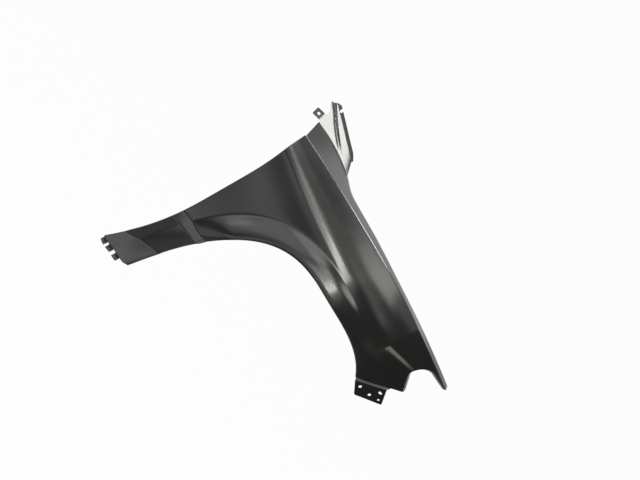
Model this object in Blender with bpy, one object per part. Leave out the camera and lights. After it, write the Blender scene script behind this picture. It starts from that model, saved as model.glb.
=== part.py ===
"""Right-hand front fender of a passenger car, pressed from one steel sheet.

The whole fender is one piece: the skin, the turned rim of the wheel arch, the door and
headlamp flanges, the strip beside the hood with its turned-down rail flange, the rear
upper panel with its bead and upstand, the pillar tab, the three sill tabs and the
stepped bumper bracket are all the same sheet, folded.

Metres, +X forward, +Y inboard, +Z up. Lengths below are measured from the wheel centre,
and the finished fender is then moved so that its origin is on the rail flange, where the
middle rail bolt holds it.
"""
import bpy
import bmesh
from math import acos, asin, atan2, cos, hypot, pi, radians, sin, sqrt
from mathutils import Matrix, Vector

# Sheet
SHEET = 0.0008
FOLD_RADIUS = 0.0030
RIM_RADIUS = 0.0025
PROBE = 0.0005
PANEL_PROBE_SHARE = 0.01

# Wheel arch edge, a squared ellipse seen from the side
ARCH_X = -0.017
ARCH_Z = -0.532
ARCH_HALF_WIDTH = 0.390
ARCH_RISE = 0.944
ARCH_POWER = 2.87
ARCH_HEEL = 0.003
ARCH_HEEL_Z = 0.000
ARCH_RIM = 0.012
ARCH_FRONT_X = 0.209

# Flare round the arch
FLARE_BAND = 0.062
FLARE_DEPTH = 0.030
ARM_FLARE_DEPTH = 0.010
FLARE_FADE_Z = 0.100
FLARE_FADE_RISE = 0.150
FLARE_SOFT_X = -0.030
FLARE_SOFT_RUN = 0.200
FLARE_CRISP_SHARE = 0.03
FLARE_SOFT_SHARE = 0.90

# Door edge and the arm that reaches down to the sill
DOOR_X = -0.449
DOOR_LOW_Z = 0.200
DOOR_LOW_SWEEP = 0.058
DOOR_HIGH_Z = 0.360
DOOR_HIGH_SWEEP = 0.016
DOOR_FLANGE = 0.012
SILL_FRONT_Z = -0.120
SILL_REAR_Z = -0.156

# Hood line, where the skin folds over
HOOD_PEAK_X = -0.050
HOOD_HEIGHT = 0.577
HOOD_FRONT_RUN = 0.410
HOOD_FRONT_FALL = 0.071
HOOD_REAR_RUN = 0.414
HOOD_REAR_FALL = 0.013
HOOD_INSET = 0.100
HOOD_TAPER = 0.060
HOOD_WRAP = 0.104
FINGER_X = 0.374

# Section of the skin below the hood line, as slopes outboard for each metre down
CREASE_SLOPE = -1.05
HOLLOW_SLOPE = -0.40
SHOULDER_SLOPE = -0.85
SIDE_SLOPE = 0.14
WAIST_SLOPE = -0.10
ARM_SLOPE = 0.15
HOLLOW_SHARE = 0.33
SHOULDER_SHARE = 0.62
HOLLOW_SOFT_SHARE = 0.30
RIDGE_SOFT_SHARE = 0.20
RIDGE_DROP = 0.093
RIDGE_LIFT = 0.026
RIDGE_RUN = 0.530
RIDGE_LEVEL_X = 0.130
WAIST_DROP = 0.110
WAIST_SOFT = 0.100
ARM_SOFT = 0.010

# Ledge across the arm and the flat facet at its foot
LEDGE_X = -0.360
LEDGE_Z = 0.152
LEDGE_HEIGHT = 0.023
LEDGE_STEP = 0.014
LEDGE_TOP_GRADE = 0.20
LEDGE_FOOT_GRADE = 0.34
FACET_X = -0.430
FACET_Z = -0.041
FACET_GRADE = 0.75
FACET_SLOPE = 0.22

# Front edge: bumper line, headlamp notch and the finger above it
NOTCH_BACK = 0.066
NOTCH_DROP = 0.099
NOTCH_RADIUS = 0.037
CHIN_AHEAD = 0.008
CHIN_DROP = 0.074
NOTCH_FLANGE = 0.010
NOTCH_FOLD = radians(40)
FINGER_FOLD = radians(88)

# Strip beside the hood
STRIP_RISE = radians(15)
STRIP_WIDTH = 0.086
STRIP_LEAN = 0.016
STRIP_BEND = 0.0025
STRIP_BEND_RISE = radians(30)
STRIP_SHARES = (
    (0.000, 0.97), (0.075, 1.00), (0.150, 0.88), (0.205, 0.69), (0.245, 0.46),
    (0.280, 0.37), (0.420, 0.32), (0.585, 0.21), (0.800, 0.17), (1.000, 0.15),
)

# Rear upper panel beside the hood hinge
PANEL_RISE = radians(30)
PANEL_SHARE = 0.200
PANEL_REAR_WIDTH = 0.093
PANEL_FRONT_WIDTH = 0.036
PANEL_REAR_LEAN = 0.020
PANEL_FRONT_LEAN = 0.028
PANEL_SAG = 0.010
PEAK_LEAN = 0.017
PEAK_SHARE = 0.84
PEAK_REAR_SHARE = 0.25
PEAK_INNER_SHARE = 0.17
BEAD_DEPTH = 0.0045
BEAD_REAR_SHARE = 0.88
BEAD_FRONT_SHARE = 0.22
PANEL_REAR_SHARES = (0.09, 0.45, 0.96)
PANEL_FRONT_SHARES = (0.25, 0.50, 0.75)
BEAD_HIGH_SHARES = (0.30, 0.40)
UPSTAND = 0.0115
UPSTAND_RISE = radians(75)
UPSTAND_TIP = 0.0060
UPSTAND_TIP_SHARE = 0.12
UPSTAND_CUT = 0.013
UPSTAND_CUT_FALL = 0.0035
NICK_SHARE = 0.15
NICK_WIDTH = 0.009
NICK_DEPTH = 0.006

# Pillar tab on the rear edge of the upper panel
TAB_LENGTH = 0.0285
TAB_FOLD = 0.003
TAB_DROP = radians(8)
TAB_CORNER = 0.003
TAB_HOLE = 0.0105
TAB_HOLE_SHARE = 0.50

# Rail flange, turned down from the strip
RAIL_DEPTH = 0.022
RAIL_END_DEPTH = 0.0055
RAIL_TAPER = 0.060
RAIL_FRONT_SHARE = 0.90
RAIL_SLOT_WIDTH = 0.008
RAIL_SLOT_LENGTH = 0.014
RAIL_SLOT_SHARES = (0.14, 0.50, 0.86)
RAIL_SEAT_SHARE = 0.55

# Bumper bracket, stepped inboard from the bumper line
STEP_REACH = 0.018
STEP_INSET = 0.006
BRACKET_REAR_REACH = 0.053
BRACKET_FRONT_REACH = 0.060
BRACKET_NEAR_REAR = 0.007
BRACKET_NEAR_FRONT = 0.111
BRACKET_FAR_REAR = 0.031
BRACKET_FAR_FRONT = 0.126
BRACKET_CORNER = 0.012
BRACKET_HOLE = 0.010
BRACKET_SMALL_HOLE = 0.0075
BRACKET_SLOT = 0.014
BRACKET_HOLE_SHARES = ((0.18, 0.31), (0.52, 0.64))
BRACKET_SMALL_SHARES = (0.85, 0.76)
BRACKET_SLOT_SHARES = (0.84, 0.29)
BRACKET_ROW_SHARES = (0, 0.5, 1)

# Sill tabs
SILL_LIP = 0.0055
SILL_LIP_SHARE = 0.12
SILL_TAB_LENGTH = 0.018
SILL_TAB_STEP = 0.0015
SILL_TAB_LEAN = 0.005
SILL_TAB_NECK = 0.004
SILL_TAB_SHARES = ((0.00, 0.17), (0.24, 0.43), (0.54, 0.72))

# Mesh
FACET_COLUMNS = 4
ARM_COLUMNS = 6
LEDGE_COLUMNS = 2
DOOR_COLUMNS = 14
HOOD_COLUMNS = 40
FRONT_COLUMNS = 12
FLARE_ROWS = 6
BODY_ROWS = 16
CHIN_ROW = 8
FLANK_ROW = 11
NOTCH_ROW = 18
BRACKET_ROW = 6
FOLD_STEPS = 2
HOLE_SIDES = 16
SEARCH_STEPS = 40
CUTTER_REACH = 0.006
CORNER_ANGLE = 0.80
SHARP_ANGLE = radians(30)
FLARE_LIMIT_SHARE = 0.90

NOTCH_X = FINGER_X - NOTCH_BACK
NOTCH_Z = HOOD_HEIGHT - NOTCH_DROP
COLUMNS = FACET_COLUMNS + ARM_COLUMNS + LEDGE_COLUMNS + DOOR_COLUMNS + HOOD_COLUMNS
DOOR_LAST = COLUMNS - HOOD_COLUMNS
ROWS = FLARE_ROWS + BODY_ROWS
HOOD_REAR_X = DOOR_X - DOOR_HIGH_SWEEP


def clip(value):
    return max(0.0, min(1.0, value))


def mix(a, b, share):
    return a + (b - a) * share


def soft_ramp(t, blend):
    """Zero for low t and t for high t, with a rounded corner as wide as the blend."""
    return (t + sqrt(t * t + blend * blend)) / 2


def read_shares(table, share):
    """A smooth reading of a table of (place, share) pairs."""
    places = [row[0] for row in table]
    values = [row[1] for row in table]
    last = len(table) - 1
    k = 0
    while k < last - 1 and share > places[k + 1]:
        k += 1
    span = places[k + 1] - places[k]
    t = clip((share - places[k]) / span)
    before = max(k - 1, 0)
    after = min(k + 2, last)
    rise_in = (values[k + 1] - values[before]) / (places[k + 1] - places[before]) * span
    rise_out = (values[after] - values[k]) / (places[after] - places[k]) * span
    a = (2 * t ** 3 - 3 * t ** 2 + 1) * values[k] + (t ** 3 - 2 * t ** 2 + t) * rise_in
    b = (3 * t ** 2 - 2 * t ** 3) * values[k + 1] + (t ** 3 - t ** 2) * rise_out
    return a + b


# The skin's surface

def hood_z(x):
    d = x - HOOD_PEAK_X
    if d < 0:
        return HOOD_HEIGHT - HOOD_REAR_FALL * (d / HOOD_REAR_RUN) ** 2
    return HOOD_HEIGHT - HOOD_FRONT_FALL * (d / HOOD_FRONT_RUN) ** 2


def hood_y(x):
    d = x - HOOD_PEAK_X
    return HOOD_INSET + HOOD_TAPER * d + HOOD_WRAP * (max(d, 0) / HOOD_FRONT_RUN) ** 2


def ridge_z(x):
    return HOOD_HEIGHT - RIDGE_DROP + RIDGE_LIFT * (min(x - RIDGE_LEVEL_X, 0) / RIDGE_RUN) ** 2


def ledge_top(x):
    return LEDGE_Z + LEDGE_TOP_GRADE * (x - LEDGE_X)


def ledge_foot(x):
    return LEDGE_Z - LEDGE_HEIGHT + LEDGE_FOOT_GRADE * (x - LEDGE_X)


def facet_line(x):
    return FACET_Z + FACET_GRADE * (x - FACET_X)


def section(x, z):
    """Outboard shape below the hood line: crease, hollow, shoulder, side, waist and arm."""
    below = hood_z(x) - z
    ridge = hood_z(x) - ridge_z(x)
    y = CREASE_SLOPE * below
    hollow_soft = HOLLOW_SOFT_SHARE * ridge
    y += (HOLLOW_SLOPE - CREASE_SLOPE) * soft_ramp(below - HOLLOW_SHARE * ridge, hollow_soft)
    y += (SHOULDER_SLOPE - HOLLOW_SLOPE) * soft_ramp(below - SHOULDER_SHARE * ridge, hollow_soft)
    y += (SIDE_SLOPE - SHOULDER_SLOPE) * soft_ramp(below - ridge, RIDGE_SOFT_SHARE * ridge)
    y += (WAIST_SLOPE - SIDE_SLOPE) * soft_ramp(below - ridge - WAIST_DROP, WAIST_SOFT)
    y += (ARM_SLOPE - WAIST_SLOPE) * soft_ramp(ledge_top(x) - z, ARM_SOFT)
    return y


def arch_distance(x, z):
    """Distance from the wheel arch edge, to first order, positive on the sheet."""
    u = abs(x - ARCH_X) / ARCH_HALF_WIDTH
    v = max(z - ARCH_Z, 0) / ARCH_RISE
    rho = (u ** ARCH_POWER + v ** ARCH_POWER) ** (1 / ARCH_POWER)
    steep = hypot(u ** (ARCH_POWER - 1) / ARCH_HALF_WIDTH, v ** (ARCH_POWER - 1) / ARCH_RISE)
    return (rho - 1) / (steep * rho ** (1 - ARCH_POWER))


def flare(x, z):
    """How far the flare round the arch stands out of the side."""
    t = 1 - arch_distance(x, z) / FLARE_BAND
    fade = clip((x - FLARE_SOFT_X) / FLARE_SOFT_RUN) ** 2
    rise = min(soft_ramp(t, FLARE_CRISP_SHARE + FLARE_SOFT_SHARE * fade), 1)
    depth = mix(ARM_FLARE_DEPTH, FLARE_DEPTH, clip((z - FLARE_FADE_Z) / FLARE_FADE_RISE))
    return depth * (1 - (1 - rise) ** 2)


def arm_form(x, z):
    """The ledge across the arm and the facet below it, behind the wheel centre."""
    if x > ARCH_X:
        return 0
    height = max(ledge_top(x) - ledge_foot(x), LEDGE_STEP)
    step = LEDGE_STEP * clip((ledge_top(x) - z) / height)
    return step + FACET_SLOPE * max(facet_line(x) - z, 0)


def skin_point(x, z):
    return Vector((x, hood_y(x) + section(x, z) - flare(x, z) - arm_form(x, z), z))


def skin_normal(x, z):
    """Unit normal of the skin, outboard."""
    along = skin_point(x + PROBE, z) - skin_point(x - PROBE, z)
    up = skin_point(x, z + PROBE) - skin_point(x, z - PROBE)
    return along.cross(up).normalized()


# Outline of the skin

def door_x(z):
    low = max(DOOR_LOW_Z - z, 0) / (DOOR_LOW_Z - SILL_REAR_Z)
    high = max(z - DOOR_HIGH_Z, 0) / (hood_z(HOOD_REAR_X) - DOOR_HIGH_Z)
    return DOOR_X - DOOR_LOW_SWEEP * low ** 2 - DOOR_HIGH_SWEEP * high ** 2


def arch_point(angle):
    """A point of the arch edge; the angle runs from the arm over the top to the front."""
    c = cos(angle)
    reach = ARCH_HALF_WIDTH * abs(c) ** (2 / ARCH_POWER)
    z = ARCH_Z + ARCH_RISE * sin(angle) ** (2 / ARCH_POWER)
    heel = ARCH_HEEL * (max(ARCH_HEEL_Z - z, 0) / (ARCH_HEEL_Z - SILL_FRONT_Z)) ** 2
    return (ARCH_X - reach - heel if c > 0 else ARCH_X + reach), z


def arch_angle_at_z(z):
    return asin(((z - ARCH_Z) / ARCH_RISE) ** (ARCH_POWER / 2))


def arch_angle_at_x(x):
    return pi / 2 + asin(((x - ARCH_X) / ARCH_HALF_WIDTH) ** (ARCH_POWER / 2))


def halve(test, low, high):
    """The place between low and high where the test turns from true to false."""
    for _ in range(SEARCH_STEPS):
        middle = (low + high) / 2
        if test(middle):
            low = middle
        else:
            high = middle
    return low


def arch_angle_on(line):
    """Where the arch edge behind the wheel crosses a line across the arm."""
    def below(angle):
        x, z = arch_point(angle)
        return z < line(x)
    return halve(below, arch_angle_at_z(SILL_FRONT_Z), CORNER_ANGLE)


def door_z_on(line):
    """Where the door edge crosses a line across the arm."""
    return halve(lambda z: z < line(door_x(z)), SILL_REAR_Z, DOOR_HIGH_Z)


def arm_stations():
    """Columns from the sill to the hood line's rear end: (arch angle, door height, count)."""
    return (
        (arch_angle_at_z(SILL_FRONT_Z), SILL_REAR_Z, FACET_COLUMNS),
        (arch_angle_on(facet_line), door_z_on(facet_line), ARM_COLUMNS),
        (arch_angle_on(ledge_foot), door_z_on(ledge_foot), LEDGE_COLUMNS),
        (arch_angle_on(ledge_top), door_z_on(ledge_top), DOOR_COLUMNS),
        (CORNER_ANGLE, hood_z(HOOD_REAR_X), 0),
    )


def column_ends():
    """The arch end and the outer end of every column, as (x, z) pairs."""
    ends = []
    stations = arm_stations()
    for (angle, z, count), (next_angle, next_z, _) in zip(stations, stations[1:]):
        for k in range(count):
            share = k / count
            height = mix(z, next_z, share)
            ends.append((arch_point(mix(angle, next_angle, share)), (door_x(height), height)))
    front_angle = arch_angle_at_x(ARCH_FRONT_X)
    for k in range(HOOD_COLUMNS + 1):
        share = k / HOOD_COLUMNS
        x = mix(HOOD_REAR_X, FINGER_X, share)
        ends.append((arch_point(mix(CORNER_ANGLE, front_angle, share)), (x, hood_z(x))))
    return ends


def between(inner, outer, share):
    return mix(inner[0], outer[0], share), mix(inner[1], outer[1], share)


def row_shares(inner, outer):
    """Shares of a column for each row, with one row on the flare's crease."""
    crease = halve(lambda s: arch_distance(*between(inner, outer, s)) < FLARE_BAND, 0, 1)
    crease = min(crease, FLARE_LIMIT_SHARE)
    shares = [crease * j / FLARE_ROWS for j in range(FLARE_ROWS)]
    return shares + [mix(crease, 1, j / BODY_ROWS) for j in range(BODY_ROWS + 1)]


def notch_tangent(point, side):
    """Angle on the notch's circle where a straight edge from a point touches it."""
    x = point[0] - NOTCH_X
    z = point[1] - NOTCH_Z
    return atan2(z, x) + side * acos(min(NOTCH_RADIUS / hypot(x, z), 1))


def front_edge():
    """The front edge: bumper line, notch flank, notch arc, then the finger's underside."""
    start = arch_point(arch_angle_at_x(ARCH_FRONT_X))
    chin = (NOTCH_X + CHIN_AHEAD, NOTCH_Z - CHIN_DROP)
    tip = (FINGER_X, hood_z(FINGER_X))
    first = notch_tangent(chin, -1) + 2 * pi
    final = notch_tangent(tip, 1)
    arc = []
    for j in range(NOTCH_ROW - FLANK_ROW + 1):
        angle = mix(first, final, j / (NOTCH_ROW - FLANK_ROW))
        arc.append((NOTCH_X + NOTCH_RADIUS * cos(angle), NOTCH_Z + NOTCH_RADIUS * sin(angle)))
    flank = FLANK_ROW - CHIN_ROW
    finger = ROWS - NOTCH_ROW
    points = [between(start, chin, j / CHIN_ROW) for j in range(CHIN_ROW)]
    points += [between(chin, arc[0], j / flank) for j in range(flank)]
    return points + arc + [between(arc[-1], tip, (j + 1) / finger) for j in range(finger)]


def skin_places():
    """Every point of the skin's net, column by column."""
    ends = column_ends()
    plain = COLUMNS - FRONT_COLUMNS
    places = []
    for inner, outer in ends[:plain + 1]:
        places.append([between(inner, outer, share) for share in row_shares(inner, outer)])
    front = front_edge()
    last = places[-1]
    for i in range(1, FRONT_COLUMNS + 1):
        share = i / FRONT_COLUMNS
        inner, outer = ends[plain + i]
        inner_plain = between(last[0], front[0], share)
        outer_plain = between(last[-1], front[-1], share)
        column = []
        for j in range(ROWS + 1):
            x, z = between(last[j], front[j], share)
            up = j / ROWS
            x += mix(inner[0] - inner_plain[0], outer[0] - outer_plain[0], up)
            z += mix(inner[1] - inner_plain[1], outer[1] - outer_plain[1], up)
            column.append((x, z))
        places.append(column)
    return places


# Folding the rims

def extend_row(bm, row, places):
    """Extrude a row of edges and put the new points at the given places."""
    edges = [bm.edges.get((a, b)) for a, b in zip(row, row[1:])]
    made = bmesh.ops.extrude_edge_only(bm, edges=edges)
    fresh = {item for item in made["geom"] if isinstance(item, bmesh.types.BMVert)}
    new_row = []
    for vert in row:
        twins = [edge.other_vert(vert) for edge in vert.link_edges]
        new_row.append(next(twin for twin in twins if twin in fresh))
    for vert, place in zip(new_row, places):
        vert.co = place
    return new_row


def rim_frames(row, inner_row):
    """For each point of a rim: its place, the way off the sheet and the way to the back."""
    frames = []
    last = len(row) - 1
    for k, vert in enumerate(row):
        tangent = row[min(k + 1, last)].co - row[max(k - 1, 0)].co
        normal = skin_normal(vert.co.x, vert.co.z)
        away = tangent.cross(normal).normalized()
        if away.dot(inner_row[k].co - vert.co) > 0:
            away = -away
        frames.append((vert.co.copy(), away, -normal))
    return frames


def turn_rim(bm, row, frames, radius, angles, length):
    """Fold a rim back through an angle that may change along it, then run it straight."""
    last = len(row) - 1
    folds = [mix(*angles, k / last) for k in range(last + 1)]
    for step in range(1, FOLD_STEPS + 1):
        places = []
        for fold, (place, away, back) in zip(folds, frames):
            turn = fold * step / FOLD_STEPS
            places.append(place + radius * sin(turn) * away + radius * (1 - cos(turn)) * back)
        row = extend_row(bm, row, places)
    ways = [cos(fold) * away + sin(fold) * back for fold, (_, away, back) in zip(folds, frames)]
    return extend_row(bm, row, [v.co + length * way for v, way in zip(row, ways)])


def inboard_way(x, rise):
    """Unit direction square to the hood line in plan, rising inboard by an angle."""
    grade = (hood_y(x + PROBE) - hood_y(x - PROBE)) / (2 * PROBE)
    flat = Vector((-grade, 1, 0)).normalized()
    return flat * cos(rise) + Vector((0, 0, 1)) * sin(rise)


# The strip beside the hood, the upper panel and the rail flange

def strip_edge(share):
    """Outer edge of the strip, at a share of the hood line's length."""
    x = mix(HOOD_REAR_X, FINGER_X, share) - STRIP_LEAN * (1 - share) ** 2
    width = STRIP_WIDTH * read_shares(STRIP_SHARES, share)
    return Vector((x, hood_y(x), hood_z(x))) + width * inboard_way(x, STRIP_RISE)


def add_strip(bm, crease_row):
    """Fold the sheet over at the hood line and run the strip to its outer edge."""
    bend = [v.co + STRIP_BEND * inboard_way(v.co.x, STRIP_BEND_RISE) for v in crease_row]
    bend_row = extend_row(bm, crease_row, bend)
    count = len(crease_row) - 1
    return extend_row(bm, bend_row, [strip_edge(k / count) for k in range(count + 1)])


def panel_point(u, w, sink):
    """A point of the upper panel: u runs forward, w from the strip to the upstand."""
    base = strip_edge(u * PANEL_SHARE)
    lean = mix(PANEL_REAR_LEAN, PANEL_FRONT_LEAN, u) * w
    if u == 0:
        spread = PEAK_REAR_SHARE if w < PEAK_SHARE else PEAK_INNER_SHARE
        lean += PEAK_LEAN * clip(1 - abs(w - PEAK_SHARE) / spread)
    width = (mix(PANEL_REAR_WIDTH, PANEL_FRONT_WIDTH, u) - PANEL_SAG * 4 * u * (1 - u)) * w
    way = inboard_way(base.x, PANEL_RISE)
    down = inboard_way(base.x, PANEL_RISE - pi / 2)
    return base + width * way + sink * down - Vector((lean, 0, 0))


def panel_rows(u):
    """Shares across the panel for its rows, with the sink of the bead at each."""
    middle = mix(BEAD_REAR_SHARE, BEAD_FRONT_SHARE, u ** 2)
    low = [middle * mix(*ends, u) for ends in zip(PANEL_REAR_SHARES, PANEL_FRONT_SHARES)]
    high = mix(middle, 1, mix(*BEAD_HIGH_SHARES, u))
    fade = BEAD_DEPTH * (1 - u ** 2)
    return [(w, 0) for w in low] + [(middle, fade), (high, 0), (1, 0)]


def add_panel(bm, base_row):
    """Raise the upper panel from the strip's rear part, with its bead and upstand."""
    count = len(base_row) - 1
    shares = [k / count for k in range(count + 1)]
    rows = [base_row]
    for r in range(len(panel_rows(0))):
        places = [panel_point(u, *panel_rows(u)[r]) for u in shares]
        rows.append(extend_row(bm, rows[-1], places))
    extend_row(bm, rows[-1], [upstand_point(v.co, u) for v, u in zip(rows[-1], shares)])
    return rows


def upstand_point(foot, u):
    """Top of the upstand above a point of its foot; its rear end is cut at a slant."""
    height = mix(UPSTAND_TIP, UPSTAND, clip((1 - u) / UPSTAND_TIP_SHARE))
    shift = 0
    if u == 0:
        height = UPSTAND - UPSTAND_CUT_FALL
        shift = UPSTAND_CUT
    return foot + height * inboard_way(foot.x, UPSTAND_RISE) + Vector((shift, 0, 0))


def nick_spot():
    """Place and axes of the nick in the upstand's top edge."""
    foot = panel_point(NICK_SHARE, 1, 0)
    top = upstand_point(foot, NICK_SHARE)
    rise = (top - foot).normalized()
    ahead = panel_point(NICK_SHARE + PANEL_PROBE_SHARE, 1, 0) - foot
    return top, rise, rise.cross(ahead).normalized()


def add_pillar_tab(bm, rows):
    """The square tab on the panel's rear edge; returns its hole's place and axes."""
    root = [rows[1][0], rows[2][0]]
    across = (root[1].co - root[0].co).normalized()
    ahead = (rows[1][1].co - rows[1][0].co).normalized()
    normal = ahead.cross(across).normalized()
    rear = across.cross(normal).normalized()
    if rear.x > 0:
        rear = -rear
    if normal.z < 0:
        normal = -normal
    fold = rear * cos(TAB_DROP) - normal * sin(TAB_DROP)
    neck = extend_row(bm, root, [v.co + TAB_FOLD * rear for v in root])
    end = extend_row(bm, neck, [v.co + TAB_LENGTH * fold for v in neck])
    middle = (neck[0].co + neck[1].co) / 2 + fold * TAB_LENGTH * TAB_HOLE_SHARE
    bmesh.ops.bevel(
        bm, geom=end, offset=TAB_CORNER, affect="VERTICES", segments=2, profile=0.5, material=-1,
    )
    return middle, across, across.cross(fold).normalized()


def add_rail_flange(bm, row):
    """Turn the strip's outer edge straight down; returns the lower and upper rows."""
    last = len(row) - 1
    flats = [inboard_way(v.co.x, 0) for v in row]
    bend = [
        v.co + FOLD_RADIUS * flat + Vector((0, 0, -FOLD_RADIUS)) for v, flat in zip(row, flats)
    ]
    upper = extend_row(bm, row, bend)
    places = []
    for k, vert in enumerate(upper):
        span = min((upper[last].co - vert.co).length, (vert.co - upper[0].co).length)
        depth = mix(RAIL_END_DEPTH, RAIL_DEPTH, clip(span / RAIL_TAPER))
        places.append(vert.co - Vector((0, 0, depth)))
    return upper, extend_row(bm, upper, places)


# The bumper bracket and the sill tabs

def bracket_plane(frames):
    """Corner and axes of the bracket: along the bumper line, away from it, and its back."""
    start = frames[0][0]
    along = (frames[-1][0] - start).normalized()
    back = sum((frame[2] for frame in frames), Vector()).normalized()
    back = (back - along * back.dot(along)).normalized()
    away = back.cross(along).normalized()
    if away.dot(frames[0][1]) < 0:
        away = -away
    return start, along, away, back


def bracket_point(plane, u, w):
    start, along, away, back = plane
    near = mix(BRACKET_NEAR_REAR, BRACKET_NEAR_FRONT, u)
    far = mix(BRACKET_FAR_REAR, BRACKET_FAR_FRONT, u)
    reach = STEP_REACH + mix(BRACKET_REAR_REACH, BRACKET_FRONT_REACH, u) * w
    return start + along * mix(near, far, w) + away * reach + back * STEP_INSET


def add_bracket(bm, row, frames):
    plane = bracket_plane(frames)
    last = len(row) - 1
    for w in BRACKET_ROW_SHARES:
        row = extend_row(bm, row, [bracket_point(plane, k / last, w) for k in range(last + 1)])
    bmesh.ops.bevel(
        bm, geom=[row[0], row[-1]], offset=BRACKET_CORNER, affect="VERTICES", segments=4,
        profile=0.5, material=-1,
    )
    return plane


def nearest(shares, share):
    return min(range(len(shares)), key=lambda k: abs(shares[k] - share))


def add_sill_tabs(bm, row, frames, shares):
    """Bow the sill edge out by a lip, then run the three tabs from it."""
    lips = [SILL_LIP * clip(min(t, 1 - t) / SILL_LIP_SHARE) for t in shares]
    row = extend_row(bm, row, [p + lip * away for lip, (p, away, _) in zip(lips, frames)])
    for low, high in SILL_TAB_SHARES:
        last = nearest(shares, 1 - low)
        first = min(nearest(shares, 1 - high), last - 1)
        verts = row[first:last + 1]
        ways = frames[first:last + 1]
        neck = [v.co + SILL_TAB_NECK * away + SILL_TAB_STEP * back
                for v, (_, away, back) in zip(verts, ways)]
        neck_row = extend_row(bm, verts, neck)
        reach = SILL_TAB_LENGTH - SILL_TAB_NECK
        lean = SILL_TAB_LEAN * (verts[-1].co - verts[0].co).normalized()
        ends = [v.co + reach * way[1] + lean for v, way in zip(neck_row, ways)]
        extend_row(bm, neck_row, ends)


# Holes

def punch(bm, centre, normal, along, width, length):
    """Add a round or long cutter, square to the sheet, to the cutters' mesh."""
    side = normal.cross(along).normalized()
    turn = Matrix((along, side, normal)).transposed().to_4x4()
    half = (length - width) / 2
    ring = []
    for k in range(HOLE_SIDES):
        angle = 2 * pi * (k + 0.5) / HOLE_SIDES
        shift = half if cos(angle) > 0 else -half
        ring.append(Vector((cos(angle) * width / 2 + shift, sin(angle) * width / 2, -CUTTER_REACH)))
    verts = [bm.verts.new(centre + turn @ place) for place in ring]
    bottom = bm.faces.new(verts)
    made = bmesh.ops.extrude_face_region(bm, geom=[bottom])
    top = [item for item in made["geom"] if isinstance(item, bmesh.types.BMVert)]
    bmesh.ops.translate(bm, verts=top, vec=normal * 2 * CUTTER_REACH)


def add_holes(tab, plane, rail_rows):
    """All cutters in one mesh: pillar tab, bumper bracket and rail flange."""
    bm = bmesh.new()
    middle, across, normal = tab
    punch(bm, middle, normal, across, TAB_HOLE, TAB_HOLE)
    _, along, _, back = plane
    for shares in BRACKET_HOLE_SHARES:
        punch(bm, bracket_point(plane, *shares), back, along, BRACKET_HOLE, BRACKET_HOLE)
    spot = bracket_point(plane, *BRACKET_SMALL_SHARES)
    punch(bm, spot, back, along, BRACKET_SMALL_HOLE, BRACKET_SMALL_HOLE)
    spot = bracket_point(plane, *BRACKET_SLOT_SHARES)
    ahead = Vector((1, 0, 0))
    ahead = (ahead - back * back.dot(ahead)).normalized()
    punch(bm, spot, back, ahead, BRACKET_SMALL_HOLE, BRACKET_SLOT)
    spot, rise, across = nick_spot()
    punch(bm, spot, across, rise, NICK_WIDTH, NICK_WIDTH + 2 * NICK_DEPTH)
    for share in RAIL_SLOT_SHARES:
        centre, normal, along = rail_spot(rail_rows, share)
        punch(bm, centre, normal, along, RAIL_SLOT_WIDTH, RAIL_SLOT_LENGTH)
    bmesh.ops.recalc_face_normals(bm, faces=bm.faces)
    mesh = bpy.data.meshes.new("hole_cutters")
    bm.to_mesh(mesh)
    bm.free()
    cutters = bpy.data.objects.new("hole_cutters", mesh)
    cutters.hide_render = True
    cutters.display_type = "WIRE"
    bpy.context.scene.collection.objects.link(cutters)
    return cutters


def rail_spot(rail_rows, share):
    """Middle of the rail flange's flat nearest to a share of its length."""
    upper, lower = rail_rows
    k = min(int(share * (len(upper) - 1)), len(upper) - 2)
    corners = [upper[k].co, upper[k + 1].co, lower[k].co, lower[k + 1].co]
    along = (upper[k + 1].co - upper[k].co).normalized()
    normal = along.cross(Vector((0, 0, 1))).normalized()
    if normal.y < 0:
        normal = -normal
    along = Vector((0, 0, 1)).cross(normal)
    return sum(corners, Vector()) / len(corners), normal, along


def coat_material():
    material = bpy.data.materials.new("black_primer")
    material.use_nodes = True
    shader = material.node_tree.nodes["Principled BSDF"]
    shader.inputs["Base Color"].default_value = (0.010, 0.010, 0.011, 1)
    shader.inputs["Roughness"].default_value = 0.22
    shader.inputs["Metallic"].default_value = 0.0
    return material


def press_skin(bm):
    """Lay a flat net of quads onto the skin's surface; returns its columns of points."""
    bmesh.ops.create_grid(bm, x_segments=COLUMNS, y_segments=ROWS, size=1)
    places = skin_places()
    net = [[None] * (ROWS + 1) for _ in range(COLUMNS + 1)]
    for vert in bm.verts:
        i = round((vert.co.x + 1) / 2 * COLUMNS)
        j = round((vert.co.y + 1) / 2 * ROWS)
        net[i][j] = vert
    for i, column in enumerate(net):
        for j, vert in enumerate(column):
            vert.co = skin_point(*places[i][j])
    return net


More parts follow.
